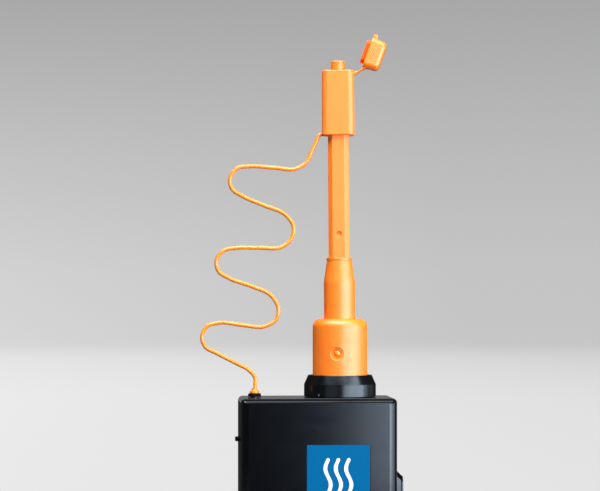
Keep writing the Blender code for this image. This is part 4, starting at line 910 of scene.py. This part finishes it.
def make_collar():
    """The black collar, turned with its neck, and the small index mark low on its front."""
    low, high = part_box("collar")
    base, tall = TOP + GAP, high.z
    radius = (high.x - low.x) / 2
    rim_radius, chamfer = 0.0208, 0.0062
    bore = SLEEVE_RADIUS + GAP
    neck, neck_bore = 0.0147, 0.0115
    floor = base + 0.0027
    bend = 0.0004
    profile = [
        (bore + bend, tall), *arc((rim_radius - bend, tall - bend), bend, 90, 20, 4),
        (radius - 0.0001, tall - chamfer + 0.0004), (radius, tall - chamfer),
        *arc((radius - bend, base + bend), bend, 0, -90, 4),
        (neck, base), (neck, low.z), (neck_bore, low.z), (neck_bore, floor),
        (bore, floor), (bore, tall - bend),
    ]
    collar = turned("base_collar", profile, closed=True, place=BASE)
    place_piece(settle(collar), "casing", "collar_plastic", "collar", slot="black_plastic")
    angle = INDEX_AZIMUTH
    way = Vector((math.sin(angle), -math.cos(angle), 0))
    foot = Vector((WAND_X, 0, base + 0.0015)) + way * (radius - 0.0002)
    outline = rounded(0.0006, 0.0015, 0.0002)
    mark = stack("collar_index", "XY", [(outline, 0), (outline, 0.0003)], place=axis_frame(foot, way))
    place_piece(settle(mark), "casing", "grey_print", slot="grey_key")


def make_sleeve():
    """The orange base sleeve: a turned wall with a round recess and hole for the lock button."""
    low, high = SLEEVE_LOW.z, SLEEVE_HIGH.z
    radius = SLEEVE_RADIUS
    shoulder_radius, bore = 0.0052, 0.0148
    hole = GUIDE_RADIUS + GAP
    lid_z = high - SLEEVE_LID
    button_z = local_box("lock_button", BASE)[0].z + 0.0045
    pitch = math.tau * radius / ROUND
    half_block = 9
    bottom_z = button_z - half_block * pitch
    top_z = button_z + half_block * pitch
    rows = [(bore, low), (radius - 0.0002, low), (radius, low + 0.0002), (radius, (low + bottom_z) / 2)]
    first_row = len(rows)
    rows += [(radius, bottom_z + pitch * step) for step in range(2 * half_block + 1)]
    last_row = len(rows) - 1
    rows += [(radius, (top_z + high - shoulder_radius) / 2)]
    rows += arc((radius - shoulder_radius, high - shoulder_radius), shoulder_radius, 0, 90, 14)
    rows += [(hole + 0.0003, high), (hole, high - 0.0003), (hole, lid_z), (bore, lid_z)]
    turn = math.atan2(BUTTON_WAY.y, BUTTON_WAY.x)
    rings = []
    for row_radius, z in rows:
        ring = []
        for step in range(ROUND):
            angle = turn + math.tau * (step - half_block) / ROUND
            ring.append(Vector((row_radius * math.cos(angle), row_radius * math.sin(angle), z)))
        rings.append(ring)
    shape = bmesh.new()
    grid = add_rings(shape, rings, closed=True)

    def wrap(u, v, depth):
        angle = turn + u / radius
        reach = radius - depth
        return Vector((reach * math.cos(angle), reach * math.sin(angle), button_z + v))

    recess, floor_radius, depth, opening = 0.0045, 0.0038, 0.0004, 0.00318
    profile = [
        (recess + 0.0009, 0), (recess + 0.0003, 0), (recess + 0.0001, -0.00004), (recess - 0.0001, 0.00002),
        (floor_radius + 0.0003, depth - 0.00012), (floor_radius, depth - 0.00002),
        (floor_radius - 0.0001, depth), (opening + 0.00006, depth), (opening, depth + 0.00006),
        (opening, radius - bore),
    ]
    punch(shape, grid, range(first_row, last_row + 1), range(2 * half_block + 1), wrap, profile)
    sleeve = mesh_object("lock_sleeve", shape, BASE)
    place_piece(settle(sleeve), "casing", "orange_plastic", "base_sleeve")


def punch(shape, grid, rows, columns, to_space, profile):
    """Swaps a square block of a grid's faces for rings of (radius, depth) that close in on its middle."""
    block = [[grid[row][column] for column in columns] for row in rows]
    last = len(block) - 1
    border = [(0, i) for i in range(last)] + [(i, last) for i in range(last)]
    border += [(last, i) for i in range(last, 0, -1)] + [(i, 0) for i in range(last, 0, -1)]
    inside = {vertex for line in block for vertex in line}
    doomed = [face for face in shape.faces if all(vertex in inside for vertex in face.verts)]
    ring = [block[row][column] for row, column in border]
    middle = last / 2
    angles = [math.atan2(row - middle, column - middle) for row, column in border]
    bmesh.ops.delete(shape, geom=doomed, context="FACES_ONLY")
    kept = set(ring)
    loose = [vertex for vertex in inside - kept if vertex.is_valid and not vertex.link_faces]
    bmesh.ops.delete(shape, geom=loose, context="VERTS")
    for radius, depth in profile:
        inner = []
        for angle in angles:
            u, v = radius * math.cos(angle), radius * math.sin(angle)
            inner.append(shape.verts.new(to_space(u, v, depth)))
        for i in range(len(ring)):
            j = (i + 1) % len(ring)
            shape.faces.new((ring[i], ring[j], inner[j], inner[i]))
        ring = inner
    shape.faces.new(ring)


def make_guide():
    """The taper guide: straight, then narrowing to a small lip round the square rod."""
    low, high = local_box("taper_guide", WAND)
    radius, top_radius, lip_radius, lip_high, flange_radius = GUIDE_RADIUS, 0.0081, 0.0083, 0.0015, 0.0144
    straight_top = TOP + 0.0745
    flange = SLEEVE_HIGH.z - SLEEVE_LID - GAP
    lip = high.z - lip_high
    bend = 0.0003
    bore = chamfered(ROD_WIDTH + 2 * GAP, SOCKET_CHAMFER)
    mouth = chamfered(ROD_WIDTH + 4 * GAP, SOCKET_CHAMFER + 0.0001)
    profile = [
        *arc((lip_radius - bend, high.z - bend), bend, 90, 0, 4), (lip_radius, lip + 0.0004),
        (lip_radius - 0.00004, lip + 0.0001), (top_radius + 0.00004, lip - 0.0005),
        (top_radius, lip - 0.0008), (radius - 0.0002, straight_top + 0.0012),
        (radius - 0.00005, straight_top), (radius, straight_top - 0.0015),
        (radius, flange), (flange_radius, flange), (flange_radius, low.z),
    ]
    rings = [(disc(r), z) for r, z in profile]
    rings += [(bore, low.z), (bore, high.z - bend), (mouth, high.z)]
    guide = stack("rod_guide", "XY", rings, closed=True, place=WAND)
    place_piece(settle(guide), "casing", "orange_plastic", "taper_guide")


def make_lock_button():
    """The round button in the sleeve's recess: a small dome in a raised edge, a flange and a stem."""
    low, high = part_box("lock_button")
    place = axis_frame(Vector((WAND_X, 0, (low.z + high.z) / 2)), BUTTON_WAY)
    outer = SLEEVE_RADIUS - 0.0002
    radius, flange_radius, stem_radius = 0.0031, 0.0045, 0.0012
    flange_top, stem_end = 0.0137, 0.0095
    flange_low = flange_top - 0.0008
    dome = arc((0, outer - 0.0024), 0.0024, 90, 38)
    foot = arc((0.0022, outer - 0.0005), 0.0004, 225, 270, 4)
    edge = arc((radius - 0.0002, outer - 0.0011), 0.0002, 90, 0, 4)
    profile = [
        *dome, *foot, *edge, (radius, flange_top), (flange_radius, flange_top), (flange_radius, flange_low),
        (stem_radius, flange_low), (stem_radius, stem_end), (0, stem_end),
    ]
    button = turned("lock_key", profile, segments=96, place=place)
    place_piece(settle(button), "lock_button", "orange_button", "lock_button", slot="orange_plastic")


# ---------------------------------------------------------------- moving wand

def rod_outline(width, chamfer, bend):
    """The rod's section: a square with wide chamfers whose corners are slightly round."""
    half = width / 2
    flat = half - chamfer
    points = []
    for turn in range(8):
        angle = turn * 45
        corner = (half, flat) if turn % 2 == 0 else (flat, half)
        base = (turn // 2) * 90
        c, s = math.cos(math.radians(base)), math.sin(math.radians(base))
        x, y = corner[0] * c - corner[1] * s, corner[0] * s + corner[1] * c
        reach = bend / math.cos(math.radians(22.5))
        way = math.radians(angle + 22.5)
        middle = (x - reach * math.cos(way), y - reach * math.sin(way))
        points += arc(middle, bend, angle, angle + 45, 3)
    return points


def make_rod():
    """The hollow rod with a dimple pressed into its front face."""
    low, high = local_box("wand_rod", WAND)
    width = high.x - low.x
    inner_width = width - 0.004
    chamfer, bend, hole_radius = 0.00275, 0.0005, 0.0018
    outline = rod_outline(width, chamfer, bend)
    inner = rod_outline(inner_width, chamfer - 0.0008, bend)
    shape = bmesh.new()
    dimple_z = TOP + 0.1054
    face_half = width / 2 - chamfer - bend
    cells = 12
    pitch = 2 * face_half / cells
    front = [(-face_half + pitch * i, -width / 2) for i in range(1, cells)]
    on_front = [u > -face_half * 1.2 and v < -width / 2 + 1e-6 for u, v in outline]
    split = on_front.index(True)
    section = outline[:split + 1] + front + outline[split + 1:]
    inner_front = [(u * 0.6, -inner_width / 2) for u, v in front]
    inner_section = inner[:split + 1] + inner_front + inner[split + 1:]
    block_low = dimple_z - cells / 2 * pitch
    levels = [low.z, (low.z + block_low) / 2]
    levels += [block_low + pitch * i for i in range(cells + 1)] + [high.z]
    rings = [[Vector((u, v, z)) for u, v in section] for z in levels]
    rings += [[Vector((u, v, z)) for u, v in inner_section] for z in (high.z, low.z)]
    grid = add_rings(shape, rings, closed=True)

    def press(u, v, depth):
        return Vector((u, -width / 2 + depth, dimple_z + v))

    profile = [(hole_radius + 0.0006, 0), (hole_radius + 0.0003, 0.00003), (hole_radius, 0.0003),
               (hole_radius - 0.0002, 0.0008), (hole_radius - 0.0006, 0.0011), (0.0005, 0.00112)]
    punch(shape, grid, range(2, 2 + cells + 1), range(split, split + cells + 1), press, profile)
    rod = mesh_object("square_rod", shape, WAND)
    place_piece(settle(rod), "wand", "orange_matt", "wand_rod", slot="orange_plastic")


def make_head():
    """The head block, skinned from its rod socket over the outside to the nozzle's seat."""
    low, high = local_box("head_block", WAND)
    bottom, top = low.z, high.z
    width, depth, corner = 0.0211, 0.0175, 0.004
    draft = 0.0003
    socket = chamfered(ROD_WIDTH + 2 * GAP, SOCKET_CHAMFER)
    socket_deep, seat_radius, seat_deep = 0.0123, 0.0059, 0.005
    foot, brow = 0.0008, 0.0007

    def skin(inset, z):
        narrower = draft * (z - bottom) / (top - bottom) + inset
        return rounded(width - 2 * narrower, depth - 2 * narrower, corner - inset * 0.8), z

    outer = [(foot, bottom)] + [(foot - (foot * math.sin(a)), bottom + foot - foot * math.cos(a))
                                for a in [math.radians(15 * k) for k in range(1, 7)]]
    outer += [(0, bottom + (top - bottom) * share) for share in (0.2, 0.4, 0.6, 0.8)]
    outer += [(brow - brow * math.cos(a), top - brow + brow * math.sin(a))
              for a in [math.radians(15 * k) for k in range(0, 7)]]
    recess = rounded(0.0160, 0.0128, 0.0025)
    wide_recess = rounded(0.0164, 0.0132, 0.0027)
    recess_floor = top - 0.003
    rings = [(socket, bottom + socket_deep), (socket, bottom)]
    rings += [skin(inset, z) for inset, z in outer]
    rings += [(wide_recess, top), (recess, top - 0.0002), (recess, recess_floor),
              (disc(seat_radius), recess_floor), (disc(seat_radius), recess_floor - seat_deep)]
    head = stack("head_body", "XY", rings, place=WAND)
    port_z = bottom + 0.0010
    mouth, port_end = Vector((-0.012, 0, port_z)), Vector((-0.0088, 0, port_z))
    cut(head, bar("line_port", WAND @ mouth, WAND @ port_end, LINE_RADIUS + 0.00005))
    place_piece(settle(head), "wand", "orange_matt", "head_block", slot="orange_plastic")


def make_nozzle():
    """The inlet nozzle, turned with its flange and its rounded mouth."""
    low, high = local_box("nozzle", WAND)
    radius, bore, flange = 0.0046, 0.0016, 0.0056
    base, tip = low.z, high.z
    flange_top = base + 0.0022
    bend, mouth_round = 0.0007, 0.0006
    profile = [
        *arc((bore + 0.0011, tip - mouth_round), mouth_round, 120, 90, 3),
        *arc((radius - bend, tip - bend), bend, 90, 0), (radius, flange_top), (flange, flange_top),
        (flange, base), (bore, base), (bore, tip - 2 * mouth_round),
    ]
    nozzle = turned("inlet_nozzle", profile, closed=True, segments=96, place=WAND)
    place_piece(settle(nozzle), "wand", "orange_plastic", "nozzle")


HINGE_DROP = 0.00075
HINGE_X = (WAND.inverted() @ HINGE).x
CAP_PLACE = WAND @ Matrix.Translation(WAND.inverted() @ HINGE) @ Matrix.Rotation(CAP_OPEN, 4, "Y")
CAP_SIZE = (0.0202, 0.0175, 0.0104)
CAP_RIM = HINGE_DROP + GAP


def in_plug_shade(point):
    """Whether a point of the closed cap lies on the skirt below its rim or in its cavity, where a darker
    orange paints the shade of the rim.
    """
    along, across = abs(point.x + HINGE_X), abs(point.y)
    in_cavity = along < 0.0064 and across < 0.0053 and point.z < CAP_RIM + CAP_SIZE[2] - 0.001
    return point.z < CAP_RIM or in_cavity


def make_cap():
    """The flip cap, modelled closed about its hinge and then turned open."""
    long, deep, tall = CAP_SIZE
    middle = (-HINGE_X, 0)
    rim, roof = CAP_RIM, CAP_RIM + tall
    skirt_bottom = rim - 0.0026
    crown, lean, lip = 0.0030, 0.0007, 0.0005

    def skin(inset, z):
        return rounded(long - 2 * inset, deep - 2 * inset, max(0.0036 - 0.6 * inset, 0.001), middle), z

    cavity = rounded(0.0125, 0.0102, 0.0025, middle)
    mouth = rounded(0.0129, 0.0106, 0.0027, middle)
    skirt = rounded(0.0151, 0.0120, 0.0028, middle)
    skirt_low = rounded(0.0147, 0.0116, 0.0026, middle)
    rings = [(cavity, roof - 0.0016), (cavity, skirt_bottom + 0.0002), (mouth, skirt_bottom),
             (skirt_low, skirt_bottom), (skirt, skirt_bottom + 0.0002), (skirt, rim)]
    rings += [skin(lip - lip * math.sin(math.radians(a)), rim + lip - lip * math.cos(math.radians(a)))
              for a in (0, 30, 60, 90)]
    rings += [skin(lean * share, rim + lip + (tall - lip - crown) * share) for share in (0.33, 0.66)]
    rings += [skin(lean + crown - crown * math.cos(math.radians(a)),
                   roof - crown + crown * math.sin(math.radians(a))) for a in range(0, 91, 10)]
    cap = stack("cap_shell", "XY", rings, place=CAP_PLACE)
    place_piece(settle(cap), "cap", "orange_thin", "flip_cap", slot="orange_plastic")
    # The skirt and the cavity take the darker orange: painted shade under the cap's rim.
    cap.data.materials.append(LOOKS["orange_plug_shade"])
    closed = CAP_PLACE.inverted()
    for polygon in cap.data.polygons:
        polygon.material_index = int(in_plug_shade(closed @ polygon.center))
    tab_middle = (-HINGE_X - long / 2 - 0.0007, 0)
    tab_foot = rounded(0.0037, 0.0040, 0.0009, tab_middle)
    tab_side = rounded(0.0041, 0.0044, 0.0011, tab_middle)
    tab_top = rounded(0.0035, 0.0038, 0.0008, tab_middle)
    tab = stack("cap_thumb_tab", "XY", [
        (tab_foot, rim + 0.0002), (tab_side, rim + 0.0005),
        (tab_side, rim + 0.0022), (tab_top, rim + 0.0027),
    ], place=CAP_PLACE)
    place_piece(settle(tab), "cap", "orange_thin", slot="orange_plastic")
    rib_half, rib_radius, first_rib, rib_pitch = 0.0037, 0.0003, 0.0024, 0.00125
    for side in (-1, 1):
        for number in range(3):
            z = rim + first_rib + number * rib_pitch
            y = side * (deep / 2 - 0.0001 - lean * (z - rim - lip) / (tall - lip - crown))
            start = CAP_PLACE @ Vector((-HINGE_X - rib_half, y, z))
            end = CAP_PLACE @ Vector((-HINGE_X + rib_half, y, z))
            rib = bar(f"cap_rib_{side + 2}_{number + 1}", start, end, rib_radius, 16)
            place_piece(settle(rib, 0.0001), "cap", "orange_thin", slot="orange_plastic")


def make_strap():
    """The living hinge: a web from the head's top corner to the cap's rim, thinnest on its axis."""
    # Each station is the top and the bottom of a section, as (across, up) from the hinge axis.
    stations = (
        (-0.0044, 0.00035, -0.0044, -0.0030), (-0.0034, 0.00035, -0.0034, -0.0028),
        (-0.0022, 0.00035, -0.0021, -0.0017), (-0.0010, 0.00035, -0.0007, -0.0006),
        (-0.0001, 0.00070, 0.0003, -0.0001), (0.0008, 0.0013, 0.0012, 0.0006),
        (0.0017, 0.0021, 0.0024, 0.0012), (0.0026, 0.0030, 0.0040, 0.0017),
        (0.0034, 0.0034, 0.0048, 0.0021),
    )
    half_depth, station_step = 0.0033, 0.0003
    origin = WAND.inverted() @ HINGE
    shape = bmesh.new()
    rings = []
    for station in smooth_route(stations, station_step):
        top, bottom = Vector(station[:2]), Vector(station[2:])
        middle, thick = (top + bottom) / 2, (top - bottom).length
        side = (top - bottom) / thick
        ring = []
        for across, up in rounded(2 * half_depth, thick, min(0.0004, thick * 0.3)):
            ring.append(origin + Vector((middle.x + side.x * up, across, middle.y + side.y * up)))
        rings.append(ring)
    add_rings(shape, rings)
    strap = settle(mesh_object("hinge_web", shape, WAND))
    wear_look(strap, "orange_thin")
    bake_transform(strap)


# ---------------------------------------------------------------- inner pieces

INNER = {
    "lcd_module": "steel", "keypad_mat": "black_rubber", "main_board": "green_board",
    "sounder": "black_rubber", "battery_pack": "battery_wrap", "sensor_block": "white_plastic",
    "sensor_cell": "steel", "sample_pump": "black_rubber", "pump_motor": "steel",
    "inlet_fitting": "brass", "inlet_hose": "white_plastic", "pump_hose": "white_plastic",
    "collar_nut": "black_plastic", "guide_tube": "black_plastic", "lock_liner": "steel",
    "wiper_seal": "black_rubber", "side_switch": "black_rubber", "rod_foot": "black_rubber",
    "filter_disc": "white_plastic", "lock_button_spring": "steel", "side_button_spring": "steel",
}


def dress_inner_pieces():
    """CAD nodes whose shape stays: each gets its procedural material."""
    for node, look in INNER.items():
        piece = frame["nodes"][node]
        piece.data.materials.clear()
        piece.data.materials.append(LOOKS[look])


# ---------------------------------------------------------------- stage and light

NEAR_FLOOR = 1.3
# The sector in front, in degrees to each side, that the glossy casing doesn't mirror.
FRONT_SECTOR = 60
SECTOR_STEP = 360 / 96
FLOOR_RADIUS = 12.0
SWEEP = 0.9
WALL_HEIGHT = 7.0
# Brightness of the backdrop's glow, which paints the studio light on it, against the way along the floor and
# then up the wall.
BACKDROP_GLOW = (
    (0.6, 0.00), (1.3, 0.80), (4.5, 0.80), (8.0, 0.745), (10.5, 0.655), (12.2, 0.610),
    (12.6, 0.576), (13.0, 0.530), (13.5, 0.455), (14.0, 0.380), (16.0, 0.20),
)
# The floor's own colour in the middle, where the lights fall on it; it fades to black where the painted glow
# takes over.
FLOOR_TONES = ((0.6, 0.30), (1.3, 0.0))
REACH = 16.0
# The backdrop's fall in brightness to the right, a painted light fall-off in its glow: per metre across,
# less with height, and how far it goes.
SIDE_FALL = 0.070
SIDE_FALL_LOSS = 0.034
SIDE_LIMIT = 1.6


def make_stage():
    """A pale floor that sweeps up into a grey backdrop all round, lit by its own glow as painted light; the
    lights alone light the object.
    """
    profile = [(NEAR_FLOOR, 0.0), (FLOOR_RADIUS / 3, 0.0), (FLOOR_RADIUS - SWEEP, 0.0)]
    profile += arc((FLOOR_RADIUS - SWEEP, SWEEP), SWEEP, 270, 360, 24)[1:]
    profile.append((FLOOR_RADIUS, WALL_HEIGHT))
    look = backdrop_material()
    front = floor_sector("floor_front", -FRONT_SECTOR, FRONT_SECTOR)
    rest = floor_sector("floor", FRONT_SECTOR, 360 - FRONT_SECTOR)
    wall = turned("backdrop", profile, segments=96, capped=False)
    for part in (front, rest, wall):
        part.visible_glossy = part == rest
        part.visible_diffuse = False
        part.data.materials.append(look)


def floor_sector(name, first, last):
    """A sector of the floor's middle, between two azimuths in degrees."""
    shape = bmesh.new()
    centre = shape.verts.new((0, 0, 0))
    rim = []
    steps = round((last - first) / SECTOR_STEP)
    for step in range(steps + 1):
        angle = math.radians(first + step * SECTOR_STEP)
        rim.append(shape.verts.new((NEAR_FLOOR * math.sin(angle), -NEAR_FLOOR * math.cos(angle), 0)))
    for one, two in zip(rim, rim[1:]):
        shape.faces.new((centre, one, two))
    return mesh_object(name, shape)


def backdrop_material():
    """Matt, with a glow that paints the light on it; its tone follows the way along the floor and up the
    wall, and falls a little to the right as painted light fall-off.
    """
    made = bpy.data.materials.new("backdrop")
    made.use_nodes = True
    nodes = made.node_tree.nodes
    link = made.node_tree.links.new
    shader = nodes["Principled BSDF"]
    shader.inputs["Roughness"].default_value = 0.9
    shader.inputs["Specular IOR Level"].default_value = 0.0
    shader.inputs["Emission Strength"].default_value = 1.0

    def math_node(operation, *values):
        node = nodes.new("ShaderNodeMath")
        node.operation = operation
        for socket, value in zip(node.inputs, values):
            if isinstance(value, bpy.types.NodeSocket):
                link(value, socket)
            else:
                socket.default_value = value
        return node.outputs["Value"]

    def toned(way, tones):
        ramp = nodes.new("ShaderNodeValToRGB")
        elements = ramp.color_ramp.elements
        while len(elements) < len(tones):
            elements.new(0.5)
        for element, (at, grey) in zip(elements, tones):
            element.position = at / REACH
            element.color = (grey, grey, grey, 1)
        link(way, ramp.inputs["Fac"])
        return ramp.outputs["Color"]

    split = nodes.new("ShaderNodeSeparateXYZ")
    link(nodes.new("ShaderNodeTexCoord").outputs["Object"], split.inputs["Vector"])
    x, y, z = split.outputs
    radius = math_node("SQRT", math_node("ADD", math_node("MULTIPLY", x, x), math_node("MULTIPLY", y, y)))
    way = math_node("DIVIDE", math_node("ADD", radius, z), REACH)
    side = math_node("MINIMUM", math_node("MAXIMUM", x, -SIDE_LIMIT), SIDE_LIMIT)
    lean = math_node("SUBTRACT", SIDE_FALL, math_node("MULTIPLY", z, SIDE_FALL_LOSS))
    fall = math_node("SUBTRACT", 1.0, math_node("MULTIPLY", side, math_node("MAXIMUM", lean, 0.0)))
    shade = nodes.new("ShaderNodeVectorMath")
    shade.operation = "SCALE"
    link(toned(way, BACKDROP_GLOW), shade.inputs[0])
    link(fall, shade.inputs["Scale"])
    link(shade.outputs["Vector"], shader.inputs["Emission Color"])
    link(toned(way, FLOOR_TONES), shader.inputs["Base Color"])
    return made


# The point that the lights face: above the casing, at the height of the wand's lower part.
LIGHT_AIM = Vector((0, 0, 0.28))


def soft_box(name, azimuth, elevation, distance, size, radiance, tint=(1, 1, 1)):
    """An area light that faces LIGHT_AIM, given by its brightness as seen from there."""
    data = bpy.data.lights.new(name, "AREA")
    data.shape = "RECTANGLE"
    data.size, data.size_y = size
    data.energy = radiance * math.pi * size[0] * size[1]
    data.color = tint
    light = bpy.data.objects.new(name, data)
    bpy.context.scene.collection.objects.link(light)
    turn, rise = math.radians(azimuth), math.radians(elevation)
    way = Vector((math.sin(turn) * math.cos(rise), -math.cos(turn) * math.cos(rise), math.sin(rise)))
    light.location = LIGHT_AIM + way * distance
    light.rotation_euler = way.to_track_quat("Z", "Y").to_euler()
    light.visible_camera = False
    return light


# Upright strips that together make a soft-edged key light with a weak run to its left: first and last
# azimuth, brightness.
KEY_STRIPS = ((-50, -12, 0.6), (6.4, 13, 5.2), (13, 25, 7.2), (25, 76, 9.2), (76, 92, 2.4), (92, 125, 0.3))
KEY_TINT = (0.93, 0.97, 1.0)
# The other lights: name, azimuth, elevation, distance, size and brightness.
SOFT_BOXES = (
    ("left_light", -95, 10, 1.6, (2.2, 1.0), 0.06),
    ("high_front_light", -20, 64, 1.3, (1.5, 0.65), 11.0),
    ("top_light", 0, 89, 1.4, (1.6, 1.6), 2.4),
    ("back_card", 178, 3, 3.0, (1.6, 0.7), 0.22),
)
WORLD_STRENGTH = 0.03


def make_lights():
    """The key light in strips with its top, the weaker boxes round it, a fill behind and a faint world."""
    distance, height = 1.2, 0.52
    for number, (first, last, radiance) in enumerate(KEY_STRIPS):
        width = 2 * distance * math.tan(math.radians(last - first) / 2)
        soft_box(f"key_strip_{number + 1}", (first + last) / 2, 0, distance, (width, height), radiance,
                 KEY_TINT)
    soft_box("key_top", 46, 31, distance, (0.9, 0.3), 9.0, KEY_TINT)
    for setting in SOFT_BOXES:
        soft_box(*setting)
    back_fill = soft_box("back_fill", 180, 18, 2.0, (1.0, 1.0), 5.0)
    back_fill.visible_glossy = False
    world = bpy.data.worlds.new("studio")
    bpy.context.scene.world = world
    world.use_nodes = True
    background = world.node_tree.nodes["Background"]
    background.inputs["Color"].default_value = (1, 1, 1, 1)
    background.inputs["Strength"].default_value = WORLD_STRENGTH


# ---------------------------------------------------------------- assembly

make_camera()
make_sample_line()
make_case_back()
make_case_front()
make_seal()
make_label()
make_display()
make_keys()
make_lens()
make_door()
make_screws()
make_side_button()
make_pod()
make_line_entry()
make_collar()
make_sleeve()
make_guide()
make_lock_button()
make_rod()
make_head()
make_nozzle()
make_cap()
make_strap()
dress_inner_pieces()
make_stage()
make_lights()
bpy.context.scene.view_settings.view_transform = "Standard"
